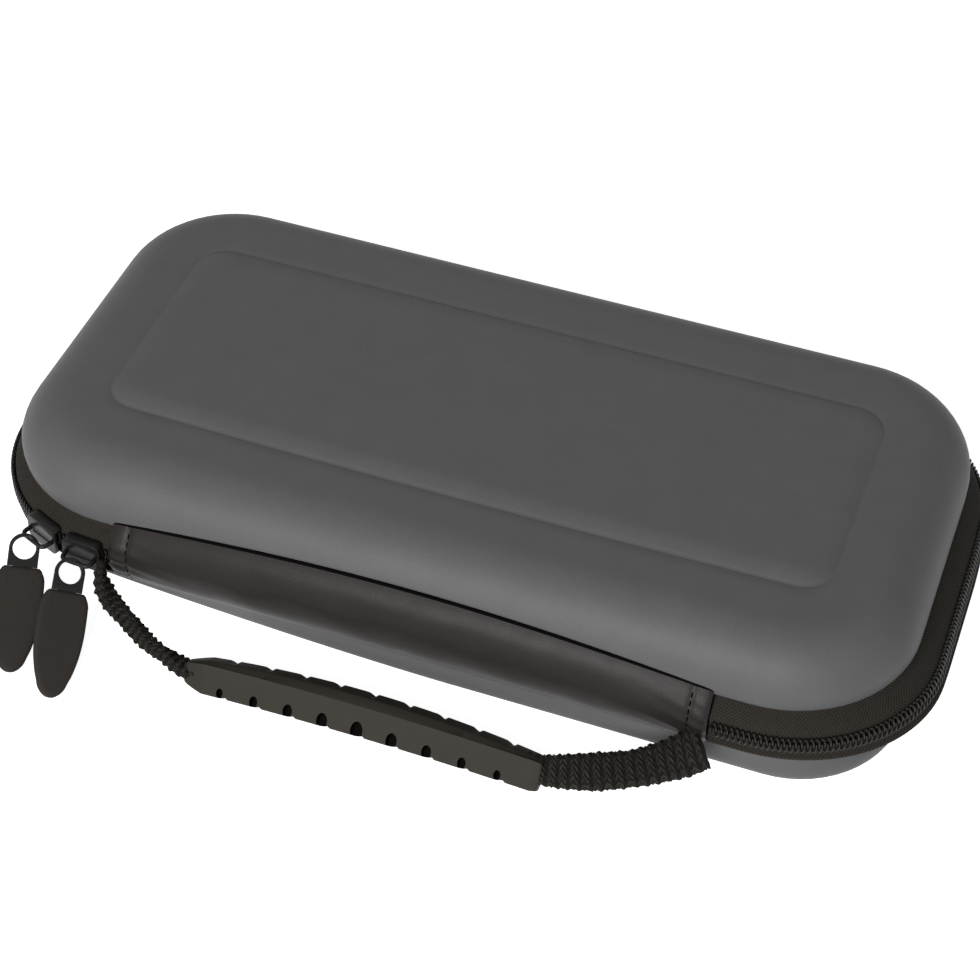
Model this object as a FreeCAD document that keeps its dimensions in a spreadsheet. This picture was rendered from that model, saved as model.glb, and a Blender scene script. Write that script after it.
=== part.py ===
"""Hard console case: two moulded shells, a zip round three sides, a spine and a carrying handle.

Frame: millimetres. The origin is the middle of the base's flat underside. +X runs along the case,
+Y points away from the handle and +Z points up. The case is closed and lies on its base.
"""
import FreeCAD, Part
import math
import os

from FreeCAD import Matrix, Placement, Rotation, Vector
import Sketcher

doc = FreeCAD.newDocument("console_case")
sheet = doc.addObject("Spreadsheet::Sheet", "Sizes")

SIZES = [
    # The zip line and the two shells
    ("zip_length", 262.0),
    ("zip_depth", 136.0),
    ("zip_corner", 40.5),
    ("zip_height", 21.0),
    ("shell_inset", 4.7),
    ("shell_wall", 3.2),
    ("base_rim", 13.5),
    ("base_round", 9.0),
    ("lid_rim", 29.2),
    ("lid_top", 46.2),
    ("lid_round", 15.4),
    ("lip_wall", 1.5),
    ("lip_height", 4.0),
    # The raised panel on the lid
    ("panel_length", 203.5),
    ("panel_depth", 70.7),
    ("panel_corner", 9.0),
    ("panel_slope", 5.0),
    ("panel_rise", 1.5),
    # Clearances: between sewn layers, between pieces that run past each other, and for soft inserts
    ("sewn_gap", 0.15),
    ("running_gap", 0.4),
    ("insert_gap", 0.4),
    # The zip tapes, the coils and the sewn edge trims
    ("tape_thickness", 0.7),
    ("coil_depth", 1.65),
    ("coil_half_height", 2.4),
    ("tooth_pitch", 3.0),
    ("tooth_tip", 0.8),
    ("tooth_notch", 1.2),
    ("tooth_cross", 0.3),
    ("binding_thickness", 1.3),
    # The spine
    ("spine_left", -84.0),
    ("spine_right", 81.5),
    ("spine_low", 11.0),
    ("spine_high", 33.0),
    ("spine_bulge", 5.0),
    ("spine_thickness", 1.2),
    ("lining_thickness", 0.8),
    # The sliders
    ("slider_length", 11.5),
    ("slider_plate", 1.1),
    ("slider_flange", 1.2),
    ("slider_channel", 3.3),
    ("slider_lip", 1.45),
    ("slider_nose", 2.0),
    ("bridge_wire", 1.3),
    ("bridge_span", 8.6),
    ("bridge_stand", 3.2),
    ("bridge_bend", 1.4),
    ("slider_a_turn", 4.0),
    ("slider_b_turn", 25.0),
    # The pulls
    ("ring_inner", 3.1),
    ("ring_width", 1.0),
    ("ring_thickness", 1.0),
    ("ring_drop", 1.6),
    ("neck_length", 2.0),
    ("tab_length", 28.7),
    ("tab_width", 13.2),
    ("tab_shoulder", 10.0),
    ("tab_tip", 5.0),
    ("tab_thickness", 2.6),
    ("tongue_width", 5.0),
    ("tongue_length", 9.0),
    ("pull_a_heading", -77.8),
    ("pull_b_heading", -74.7),
    ("pull_a_droop", 31.5),
    ("pull_b_droop", 31.5),
    ("pull_a_twist", 26.0),
    ("pull_b_twist", 14.0),
    # The handle
    ("handle_axis_y", -70.6),
    ("handle_axis_z", 20.0),
    ("handle_droop", 38.0),
    ("strap_left", -82.0),
    ("strap_right", 82.5),
    ("strap_width", 10.0),
    ("strap_left_width", 6.5),
    ("strap_thickness", 3.0),
    ("grip_left", -55.0),
    ("grip_right", 44.0),
    ("grip_reach", 20.3),
    ("grip_width", 13.0),
    ("grip_thickness", 8.5),
    ("grip_edge", 4.2),
    ("grip_taper", 3.0),
    ("grip_scallop", 0.6),
    ("grip_dip", 4.0),
    ("grip_notch_depth", 5.0),
    ("grip_notch_in", 1.6),
    ("grip_notches", 9.0),
    # The tray and its elastic straps
    ("tray_top", 16.0),
    ("tray_floor", 2.0),
    ("bay_length", 240.0),
    ("bay_depth", 104.0),
    ("bay_corner", 30.0),
    ("elastic_width", 20.0),
    ("elastic_thickness", 1.0),
    ("elastic_place", 82.0),
    ("elastic_length", 112.0),
    # The divider flap, its card pockets and the mesh pocket
    ("flap_length", 230.0),
    ("flap_depth", 108.0),
    ("flap_corner", 22.0),
    ("flap_low", 24.0),
    ("flap_thickness", 3.0),
    ("flap_edge", 1.2),
    ("card_row_length", 196.0),
    ("card_row_depth", 34.0),
    ("card_row_thickness", 2.4),
    ("card_row_place", 23.0),
    ("card_width", 33.0),
    ("card_slot", 0.8),
    ("mesh_height", 33.2),
    ("mesh_thickness", 0.8),
    ("mesh_reach", 72.0),
    ("hem_width", 6.0),
    ("hem_thickness", 1.6),
]


def fill_sheet():
    """Write each size into its own cell, as text, under its alias."""
    for row, (alias, value) in enumerate(SIZES, start=1):
        sheet.set("A%d" % row, alias)
        sheet.set("B%d" % row, "%g" % value)
        sheet.setAlias("B%d" % row, alias)
    doc.recompute()


def size(expression):
    """The value of an expression over the sheet's aliases."""
    return float(sheet.evalExpression(expression))


def bound(expression):
    """The same expression as another object writes it, with each alias under the sheet's name."""
    words = sorted((alias for alias, _ in SIZES), key=len, reverse=True)
    out, i = "", 0
    while i < len(expression):
        word = next((w for w in words if expression.startswith(w, i)), None)
        out += "Sizes." + word if word else expression[i]
        i += len(word) if word else 1
    return out


def bind(thing, prop, expression):
    """Tie a property to an expression over the sheet's aliases."""
    thing.setExpression(prop, bound(expression))


# Small tools for sketched bodies


def new_body(name):
    """A body of its own for one sub-part, labelled with the sub-part's name."""
    body = doc.addObject("PartDesign::Body", name)
    body.Label = name
    return body


def new_sketch(body, name, role="XY_Plane", offset=None):
    """A sketch on one of the body's own origin planes, moved along the plane's normal by offset."""
    sketch = body.newObject("Sketcher::SketchObject", name)
    plane = next(f for f in body.Origin.OriginFeatures if f.Role == role)
    sketch.AttachmentSupport = [(plane, "")]
    sketch.MapMode = "FlatFace"
    if offset:
        bind(sketch, "AttachmentOffset.Base.z", offset)
        doc.recompute()
    return sketch


def datum(sketch, kind, ends, expression):
    """A dimension of the sketch, tied to an expression."""
    index = sketch.addConstraint(Sketcher.Constraint(kind, *ends, size(expression)))
    bind(sketch, "Constraints[%d]" % index, expression)


def rounded_rectangle(sketch, length, depth, corner, x="0", y="0"):
    """A closed rounded rectangle about (x, y), with its sides, corners and place tied to the sheet."""
    half_l, half_d, r = size(length) / 2, size(depth) / 2, size(corner)
    mid_x, mid_y = size(x), size(y)
    turn = math.pi / 2
    at = sketch.GeometryCount
    for k in range(4):
        along = half_l if k % 2 == 0 else half_d
        out = half_d if k % 2 == 0 else half_l
        spin = Rotation(Vector(0, 0, 1), 90 * k)
        middle = Vector(mid_x, mid_y, 0)
        start = spin.multVec(Vector(r - along, -out, 0)) + middle
        end = spin.multVec(Vector(along - r, -out, 0)) + middle
        centre = spin.multVec(Vector(along - r, r - out, 0)) + middle
        sketch.addGeometry(Part.LineSegment(start, end), False)
        round_ = Part.Circle(centre, Vector(0, 0, 1), r)
        sketch.addGeometry(Part.ArcOfCircle(round_, turn * (k - 1), turn * k), False)
    for k in range(8):
        sketch.addConstraint(Sketcher.Constraint("Tangent", at + k, 2, at + (k + 1) % 8, 1))
    for k in (3, 5, 7):
        sketch.addConstraint(Sketcher.Constraint("Equal", at + 1, at + k))
    for k, kind in ((0, "Horizontal"), (4, "Horizontal"), (2, "Vertical"), (6, "Vertical")):
        sketch.addConstraint(Sketcher.Constraint(kind, at + k))
    datum(sketch, "Radius", (at + 1,), corner)
    datum(sketch, "DistanceX", (at + 6, 1, at + 2, 1), length)
    datum(sketch, "DistanceY", (at, 1, at + 4, 1), depth)
    datum(sketch, "DistanceX", (-1, 1, at + 2, 1), "(%s) / 2 + (%s)" % (length, x))
    datum(sketch, "DistanceY", (-1, 1, at + 4, 1), "(%s) / 2 + (%s)" % (depth, y))


def polygon(sketch, points):
    """A closed polygon through points, each given by two expressions tied to the sheet."""
    at = sketch.GeometryCount
    places = [Vector(size(x), size(y), 0) for x, y in points]
    count = len(points)
    for k in range(count):
        sketch.addGeometry(Part.LineSegment(places[k], places[(k + 1) % count]), False)
    for k in range(count):
        sketch.addConstraint(Sketcher.Constraint("Coincident", at + k, 2, at + (k + 1) % count, 1))
    for k, (x, y) in enumerate(points):
        datum(sketch, "DistanceX", (-1, 1, at + k, 1), x)
        datum(sketch, "DistanceY", (-1, 1, at + k, 1), y)


def circle(sketch, radius, x="0", y="0"):
    """A circle about (x, y), tied to the sheet."""
    ring = Part.Circle(Vector(size(x), size(y), 0), Vector(0, 0, 1), size(radius))
    at = sketch.addGeometry(ring, False)
    datum(sketch, "Radius", (at,), radius)
    datum(sketch, "DistanceX", (-1, 1, at, 3), x)
    datum(sketch, "DistanceY", (-1, 1, at, 3), y)


def pad(body, sketch, length, name, both=False):
    """Material raised from a sketch along its normal, or to both sides of it."""
    feature = body.newObject("PartDesign::Pad", name)
    feature.Profile = sketch
    bind(feature, "Length", length)
    feature.Midplane = both
    doc.recompute()
    return feature


def pocket(body, sketch, depth, name, upwards=False, both=False):
    """Material cut away from a sketch against its normal, upwards along it, or to both sides."""
    before = body.Shape.Volume
    feature = body.newObject("PartDesign::Pocket", name)
    feature.Profile = sketch
    bind(feature, "Length", depth)
    feature.Reversed = upwards
    feature.Midplane = both
    doc.recompute()
    if feature.Shape.Volume >= before:
        raise RuntimeError("%s cuts nothing" % name)
    return feature


def fillet(body, feature, radius, name, chosen):
    """Round the edges of a feature that the function chosen picks out."""
    names = ["Edge%d" % (k + 1) for k, e in enumerate(feature.Shape.Edges) if chosen(e)]
    if not names:
        raise RuntimeError("%s finds no edge" % name)
    rounding = body.newObject("PartDesign::Fillet", name)
    rounding.Base = (feature, names)
    bind(rounding, "Radius", radius)
    doc.recompute()
    return rounding


def level(height):
    """A test for edges or faces that lie wholly at one height."""
    return lambda piece: max(abs(piece.BoundBox.ZMin - height), abs(piece.BoundBox.ZMax - height)) < 0.001


def hollow_out(body, feature, wall, name, height):
    """Turn a block into a shell of even wall, open at its flat face at a height."""
    open_faces = ["Face%d" % (k + 1) for k, f in enumerate(feature.Shape.Faces) if level(height)(f)]
    shell = body.newObject("PartDesign::Thickness", name)
    shell.Base = (feature, open_faces)
    bind(shell, "Value", wall)
    shell.Reversed = True
    doc.recompute()
    return shell


def formed(name, shape):
    """A sub-part whose shape is worked out from the sheet's sizes by the functions above it."""
    feature = doc.addObject("Part::Feature", name)
    feature.Label = name
    feature.Shape = shape
    return feature


# The shells


def make_base_shell():
    """The lower shell: a shallow moulded tray with a rabbet inside its rim for the zip tape."""
    body = new_body("base_shell")
    outline = new_sketch(body, "base_outline")
    plan = ("zip_length - 2 * shell_inset", "zip_depth - 2 * shell_inset", "zip_corner - shell_inset")
    rounded_rectangle(outline, *plan)
    block = pad(body, outline, "base_rim", "base_block")
    block = fillet(body, block, "base_round", "base_underside", level(0))
    hollow_out(body, block, "shell_wall", "base_hollow", size("base_rim"))
    seat = new_sketch(body, "base_seat_outline", offset="base_rim")
    lip = tuple("%s - %s * lip_wall" % (text, k) for text, k in zip(plan, (2, 2, 1)))
    rounded_rectangle(seat, *lip)
    pocket(body, seat, "lip_height", "base_seat")
    return body


def make_lid_shell():
    """The upper shell: a high rounded edge, a raised panel on top and the same rabbet in its rim."""
    body = new_body("lid_shell")
    outline = new_sketch(body, "lid_outline", offset="lid_rim")
    plan = ("zip_length - 2 * shell_inset", "zip_depth - 2 * shell_inset", "zip_corner - shell_inset")
    rounded_rectangle(outline, *plan)
    block = pad(body, outline, "lid_top - lid_rim", "lid_block")
    block = fillet(body, block, "lid_round", "lid_edge", level(size("lid_top")))
    hollow_out(body, block, "shell_wall", "lid_hollow", size("lid_rim"))
    foot = new_sketch(body, "panel_foot", offset="lid_top")
    rounded_rectangle(foot, "panel_length", "panel_depth", "panel_corner")
    crown = new_sketch(body, "panel_crown", offset="lid_top + panel_rise")
    rounded_rectangle(crown, "panel_length - 2 * panel_slope", "panel_depth - 2 * panel_slope",
                      "panel_corner - panel_slope / 2")
    panel = body.newObject("PartDesign::AdditiveLoft", "raised_panel")
    panel.Profile = foot
    panel.Sections = [crown]
    panel.Ruled = True
    doc.recompute()
    seat = new_sketch(body, "lid_seat_outline", offset="lid_rim")
    lip = tuple("%s - %s * lip_wall" % (text, k) for text, k in zip(plan, (2, 2, 1)))
    rounded_rectangle(seat, *lip)
    pocket(body, seat, "lip_height", "lid_seat", upwards=True)
    return body


# What runs along the zip: its path, and sections carried round it


def zip_runs():
    """The zip's path as runs and corners, from the spine's right end round to its left end.

    A run is (start, outward direction, travel); a corner is (start, outward direction, its centre).
    """
    half_l, half_d, r = size("zip_length") / 2, size("zip_depth") / 2, size("zip_corner")
    x, y = half_l - r, half_d - r
    near, right, far, left = Vector(0, -1), Vector(1, 0), Vector(0, 1), Vector(-1, 0)
    start, end = size("spine_right"), size("spine_left")
    return [
        (Vector(start, -half_d), near, Vector(x - start, 0)),
        (Vector(x, -half_d), near, (x, -y)),
        (Vector(half_l, -y), right, Vector(0, 2 * y)),
        (Vector(half_l, y), right, (x, y)),
        (Vector(x, half_d), far, Vector(-2 * x, 0)),
        (Vector(-x, half_d), far, (-x, y)),
        (Vector(-half_l, y), left, Vector(0, -2 * y)),
        (Vector(-half_l, -y), left, (-x, -y)),
        (Vector(-x, -half_d), near, Vector(end + x, 0)),
    ]


def along_zip(section):
    """Carry a section of (inset, height) points along the zip: runs extruded, corners revolved."""
    pieces = []
    for start, outward, way in zip_runs():
        corners = [start - outward * inset + Vector(0, 0, height) for inset, height in section]
        face = Part.Face(Part.makePolygon(corners + corners[:1]))
        if isinstance(way, Vector):
            pieces.append(face.extrude(way))
        else:
            pieces.append(face.revolve(Vector(way[0], way[1], 0), Vector(0, 0, 1), 90))
    return pieces[0].multiFuse(pieces[1:]).removeSplitter()


def run_length(way):
    """How long a run or a corner of the zip's path is."""
    return way.Length if isinstance(way, Vector) else size("zip_corner") * math.pi / 2


def zip_place(distance):
    """The point at a distance along the zip's path, and the direction outwards there."""
    for start, outward, way in zip_runs():
        length = run_length(way)
        if distance <= length + 1e-6:
            break
        distance -= length
    if isinstance(way, Vector):
        return start + way * (distance / length), outward
    turned = Rotation(Vector(0, 0, 1), 90 * distance / length).multVec(outward)
    return Vector(way[0], way[1], 0) + turned * size("zip_corner"), turned


def facing(side):
    """A height measured from the zip line, up for the lid's pieces and down for the base's."""
    return lambda reach: size("zip_height") + side * reach


def make_tape(name, side, rim):
    """A zip tape: sewn inside the rim, it flares out and stands up behind the coil."""
    up = facing(side)
    rim_reach = abs(size(rim) - size("zip_height"))
    seat = size("shell_inset + lip_wall + sewn_gap")
    back = size("coil_depth + sewn_gap + sewn_gap")
    thick = size("tape_thickness")
    foot = rim_reach + size("lip_height - sewn_gap - sewn_gap")
    bend = size("coil_half_height") + 1.3
    edge = size("sewn_gap")
    turn = rim_reach - thick
    section = [
        (seat, up(foot)), (seat, up(turn)), (back, up(bend)), (back, up(edge)),
        (back + thick, up(edge)), (back + thick, up(bend - thick / 2)),
        (seat + thick, up(turn - thick)), (seat + thick, up(foot)),
    ]
    return formed(name, along_zip(section))


def make_coil(name, side, shift):
    """A row of teeth: a bar along the zip with a notch between each tooth and the next.

    The shift is a share of the pitch, so that the teeth of one row stand in the other's notches.
    """
    up = facing(side)
    depth, tip = size("coil_depth"), -size("tooth_cross")
    floor = tip + size("tooth_notch")
    path = sum(run_length(way) for _, _, way in zip_runs())
    count = round(path / size("tooth_pitch"))
    pitch = path / count
    half = (pitch - size("tooth_tip")) / 2
    bar = along_zip([(0, up(tip)), (0, up(size("coil_half_height"))),
                     (depth, up(size("coil_half_height"))), (depth, up(tip))])
    notches = []
    for k in range(count + 1 if shift == 0 else count):
        point, outward = zip_place((k + shift) * pitch)
        tangent = Vector(outward.y, -outward.x, 0)
        front = point + outward * size("coil_depth")
        lift = half / size("tooth_notch") * size("tooth_cross")
        mouth = half + lift
        beyond = tip - size("tooth_cross")
        corners = [front + tangent * mouth + Vector(0, 0, up(beyond)),
                   front + Vector(0, 0, up(floor)),
                   front - tangent * mouth + Vector(0, 0, up(beyond))]
        face = Part.Face(Part.makePolygon(corners + corners[:1]))
        notches.append(face.extrude(outward * (-3 * depth)))
    return formed(name, bar.cut(Part.makeCompound(notches)))


def make_binding(name, side, rim):
    """The edge trim sewn over the tape inside a rim, with a rounded free edge."""
    up = facing(side)
    rim_reach = abs(size(rim) - size("zip_height"))
    inner = size("shell_inset + lip_wall + tape_thickness") + 2 * size("sewn_gap")
    outer = inner + size("binding_thickness")
    foot = rim_reach + size("lip_height - sewn_gap - sewn_gap")
    crown = rim_reach - size("tape_thickness")
    shoulder = crown + size("binding_thickness") / 2
    section = [(inner, up(foot)), (inner, up(shoulder)), ((inner + outer) / 2, up(crown)),
               (outer, up(shoulder)), (outer, up(foot))]
    return formed(name, along_zip(section))


# The spine


def make_spine_cover():
    """The leather-look strip that bulges over the fold, from the base's wall to the lid's."""
    wall = -size("zip_depth / 2 - shell_inset + sewn_gap")
    low, high = size("spine_low"), size("spine_high")
    middle = (low + high) / 2
    bulge, thick = size("spine_bulge"), size("spine_thickness")
    hem = thick / 3
    x = size("spine_left")
    inner = Part.Arc(Vector(x, wall, low), Vector(x, wall - bulge + thick, middle), Vector(x, wall, high))
    outer = Part.Arc(Vector(x, wall - hem, low), Vector(x, wall - bulge, middle), Vector(x, wall - hem, high))
    edges = [inner.toShape(), outer.toShape(),
             Part.makeLine(Vector(x, wall, low), Vector(x, wall - hem, low)),
             Part.makeLine(Vector(x, wall, high), Vector(x, wall - hem, high))]
    section = Part.Face(Part.Wire(Part.__sortEdges__(edges)))
    return formed("spine_cover", section.extrude(Vector(size("spine_right - spine_left"), 0, 0)))


def make_spine_lining():
    """The fabric strip that closes the fold inside, from one rim's trim to the other's."""
    body = new_body("spine_lining")
    section = new_sketch(body, "lining_section", "YZ_Plane", "spine_left")
    back = "shell_inset + lip_wall + tape_thickness + 2 * sewn_gap - zip_depth / 2"
    front = back + " + lining_thickness"
    low = "base_rim + tape_thickness + sewn_gap"
    high = "lid_rim - tape_thickness - sewn_gap"
    polygon(section, [(back, low), (front, low), (front, high), (back, high)])
    pad(body, section, "spine_right - spine_left", "lining_strip")
    return body


# The sliders and their pulls


def slider_place(turn):
    """Where a slider sits on the zip's near left corner, turn degrees past the end of the near run."""
    angle = math.radians(size(turn))
    r = size("zip_corner")
    x = size("zip_corner - zip_length / 2") - r * math.sin(angle)
    y = size("zip_corner - zip_depth / 2") - r * math.cos(angle)
    return Placement(Vector(x, y, size("zip_height")), Rotation(Vector(0, 0, 1), -size(turn)))


def make_slider(letter, turn):
    """A slider: a channel that wraps both rows of teeth, rounded at its nose and tail."""
    body = new_body("slider_%s_body" % letter)
    section = new_sketch(body, "slider_%s_section" % letter, "YZ_Plane")
    out, gap, lip = "-running_gap - slider_plate", "-running_gap", "slider_lip"
    wide, inside = "slider_channel + slider_flange", "slider_channel"
    polygon(section, [(out, "-(%s)" % wide), (lip, "-(%s)" % wide), (lip, "-" + inside), (gap, "-" + inside),
                      (gap, inside), (lip, inside), (lip, wide), (out, wide)])
    block = pad(body, section, "slider_length", "slider_%s_channel" % letter, both=True)
    end, side = size("slider_length") / 2, size(wide)

    def at_corner(edge):
        box = edge.BoundBox
        outer = abs(abs(box.Center.x) - end) < 0.001 and abs(abs(box.Center.z) - side) < 0.001
        return outer and box.XLength < 0.001 and box.ZLength < 0.001

    fillet(body, block, "slider_nose", "slider_%s_nose" % letter, at_corner)
    body.Placement = slider_place(turn)
    return body


def make_bridge(letter, turn):
    """The arch of wire on a slider that holds its pull."""
    half, bend = size("bridge_span") / 2, size("bridge_bend")
    foot = -size("running_gap + slider_plate")
    bar = foot - size("bridge_stand")
    slant = bend * (1 - math.sqrt(0.5))
    edges = [
        Part.makeLine(Vector(-half, foot, 0), Vector(-half, bar + bend, 0)),
        Part.Arc(Vector(-half, bar + bend, 0), Vector(slant - half, bar + slant, 0),
                 Vector(bend - half, bar, 0)).toShape(),
        Part.makeLine(Vector(bend - half, bar, 0), Vector(half - bend, bar, 0)),
        Part.Arc(Vector(half - bend, bar, 0), Vector(half - slant, bar + slant, 0),
                 Vector(half, bar + bend, 0)).toShape(),
        Part.makeLine(Vector(half, bar + bend, 0), Vector(half, foot, 0)),
    ]
    wire = Part.Wire(edges)
    round_ = Part.Wire(Part.makeCircle(size("bridge_wire") / 2, Vector(-half, foot, 0), Vector(0, -1, 0)))
    bridge = formed("slider_%s_bridge" % letter, wire.makePipeShell([round_], True, True))
    bridge.Placement = slider_place(turn)
    return bridge


def pull_place(letter):
    """Where a pull hangs: its ring round the bridge's bar, leaning out and twisted about its length."""
    place = slider_place("slider_%s_turn" % letter)
    bar = place.multVec(Vector(0, -size("running_gap + slider_plate + bridge_stand"), 0))
    heading = math.radians(size("pull_%s_heading" % letter))
    droop = math.radians(size("pull_%s_droop" % letter))
    twist = math.radians(size("pull_%s_twist" % letter))
    level_way = Vector(math.cos(heading), math.sin(heading), 0)
    down = level_way * math.cos(droop) + Vector(0, 0, -math.sin(droop))
    side = Vector(-math.sin(heading), math.cos(heading), 0)
    normal = side.cross(down * -1)
    right = side * math.cos(twist) - normal * math.sin(twist)
    face = normal * math.cos(twist) + side * math.sin(twist)
    bar_way = place.Rotation.multVec(Vector(1, 0, 0))
    up_across = face.cross(bar_way).normalize()
    if up_across.dot(down) > 0:
        up_across = up_across * -1
    centre = bar - up_across * size("ring_drop")
    return Placement(Matrix(right.x, -down.x, face.x, centre.x,
                            right.y, -down.y, face.y, centre.y,
                            right.z, -down.z, face.z, centre.z,
                            0, 0, 0, 1))


def make_pull_ring(letter):
    """The metal eye of a pull with its neck and the tongue that the tab is moulded round."""
    body = new_body("pull_%s_ring" % letter)
    outline = new_sketch(body, "pull_%s_outline" % letter)
    half = size("ring_inner + ring_width")
    neck = -size("ring_inner + neck_length")
    arch = Part.ArcOfCircle(Part.Circle(Vector(0, 0, 0), Vector(0, 0, 1), half), 0, math.pi)
    outline.addGeometry(arch, False)
    corners = [Vector(-half, 0, 0), Vector(-half, neck, 0), Vector(half, neck, 0), Vector(half, 0, 0)]
    for start, end in zip(corners, corners[1:]):
        outline.addGeometry(Part.LineSegment(start, end), False)
    outline.addConstraint(Sketcher.Constraint("Coincident", 0, 3, -1, 1))
    outline.addConstraint(Sketcher.Constraint("Tangent", 0, 2, 1, 1))
    outline.addConstraint(Sketcher.Constraint("Tangent", 3, 2, 0, 1))
    outline.addConstraint(Sketcher.Constraint("Coincident", 1, 2, 2, 1))
    outline.addConstraint(Sketcher.Constraint("Coincident", 2, 2, 3, 1))
    outline.addConstraint(Sketcher.Constraint("Horizontal", 2))
    datum(outline, "Radius", (0,), "ring_inner + ring_width")
    datum(outline, "DistanceY", (2, 1, -1, 1), "ring_inner + neck_length")
    circle(outline, "ring_inner")
    pad(body, outline, "ring_thickness", "pull_%s_eye" % letter, both=True)
    tongue = new_sketch(body, "pull_%s_tongue" % letter)
    top, low = "-(ring_inner + neck_length)", "-(ring_inner + neck_length + tongue_length)"
    polygon(tongue, [("-tongue_width / 2", top), ("-tongue_width / 2", low),
                     ("tongue_width / 2", low), ("tongue_width / 2", top)])
    pad(body, tongue, "ring_thickness", "pull_%s_plate" % letter, both=True)
    body.Placement = pull_place(letter)
    return body


def make_pull_tab(letter):
    """The rubber tab: a leaf with cut shoulders and a round tip, with a slot for the metal tongue."""
    top = -size("ring_inner + neck_length + sewn_gap")
    length, wide = size("tab_length"), size("tab_width") / 2
    shoulder, tip = size("tab_shoulder") / 2, size("tab_tip")
    cut = top - (wide - shoulder) * 1.6
    belly, hip = top - 0.4 * length, top - length + tip
    narrow = wide - 2.1
    right = [Vector(shoulder, top, 0), Vector(wide - 0.3, cut, 0), Vector(wide, belly, 0),
             Vector(narrow, hip, 0)]
    left = [Vector(-p.x, p.y, 0) for p in right]
    edges = [
        Part.makeLine(left[0], right[0]),
        Part.makeLine(right[0], right[1]),
        Part.Arc(right[1], right[2], right[3]).toShape(),
        Part.Arc(right[3], Vector(0, top - length, 0), left[3]).toShape(),
        Part.Arc(left[3], left[2], left[1]).toShape(),
        Part.makeLine(left[1], left[0]),
    ]
    thick = size("tab_thickness")
    leaf = Part.Face(Part.Wire(edges)).extrude(Vector(0, 0, thick))
    leaf.translate(Vector(0, 0, -thick / 2))
    gap = size("sewn_gap")
    slot_wide = size("tongue_width") + 2 * gap
    slot_thick = size("ring_thickness") + 2 * gap
    deep = size("tongue_length") + gap
    slot = Part.makeBox(slot_wide, deep, slot_thick, Vector(-slot_wide / 2, top - deep + gap, -slot_thick / 2))
    tab = formed("pull_%s_tab" % letter, leaf.cut(slot))
    tab.Placement = pull_place(letter)
    return tab


# The handle


def handle_place():
    """The handle's own frame: x along the case, y from the grip up to the anchors."""
    origin = Vector(0, size("handle_axis_y"), size("handle_axis_z"))
    return Placement(origin, Rotation(Vector(1, 0, 0), size("handle_droop")))


def smooth_route(points):
    """A wire of straight runs joined by tangent arcs that are as large as their runs allow."""
    edges, at = [], points[0]
    for before, corner, after in zip(points, points[1:], points[2:]):
        back, ahead = before - corner, after - corner
        half = (math.pi - back.getAngle(ahead)) / 2
        reach = 0.45 * min(back.Length, ahead.Length)
        radius = reach / math.tan(half)
        into, out = back.normalize(), ahead.normalize()
        bisector = (into + out).normalize()
        centre = corner + bisector * (radius / math.cos(half))
        start, end = corner + into * reach, corner + out * reach
        edges.append(Part.makeLine(at, start))
        edges.append(Part.Arc(start, centre - bisector * radius, end).toShape())
        at = end
    edges.append(Part.makeLine(at, points[-1]))
    return Part.Wire(edges)


def ribbon(points, width):
    """A flat strap of one width along a route in the handle's own plane."""
    thick = size("strap_thickness")
    across = (points[1] - points[0]).normalize().cross(Vector(0, 0, 1))
    lift = Vector(0, 0, thick / 2)
    start = points[0]
    corners = [start + across * (width / 2) + lift, start - across * (width / 2) + lift,
               start - across * (width / 2) - lift, start + across * (width / 2) - lift]
    section = Part.makePolygon(corners + corners[:1])
    return smooth_route(points).makePipeShell([section], True, False)


def make_handle_strap():
    """One length of webbing: out of the left anchor, through the grip and into the right anchor."""
    reach = -size("grip_reach")
    left, right = size("strap_left"), size("strap_right")
    grip_left, grip_right = size("grip_left"), size("grip_right")
    inside = (grip_left + grip_right) / 2
    left_points = [Vector(inside, reach, 0), Vector(grip_left - 8, reach, 0),
                   Vector(left + 5.5, reach + 8, 0), Vector(left, 0, 0)]
    right_points = [Vector(inside, reach, 0), Vector(grip_right + 9.5, reach, 0),
                    Vector(right - 12, reach + 9.5, 0), Vector(right, 0, 0)]
    halves = [ribbon(left_points, size("strap_left_width")), ribbon(right_points, size("strap_width"))]
    beyond = Part.makeBox(2 * right - 2 * left, size("strap_width"), 2 * size("strap_thickness"),
                          Vector(2 * left, 0, -size("strap_thickness")))
    webbing = halves[0].fuse(halves[1]).cut(beyond)
    half_thick = size("strap_thickness") / 2
    for face in [f for f in webbing.Faces if abs(f.BoundBox.YMin) < 0.001 and f.BoundBox.YLength < 0.001]:
        box = face.BoundBox
        webbing = webbing.fuse(Part.makeCylinder(half_thick, box.XLength, Vector(box.XMin, 0, 0), Vector(1, 0, 0)))
    strap = formed("handle_strap", webbing.removeSplitter())
    strap.Placement = handle_place()
    return strap


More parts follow.
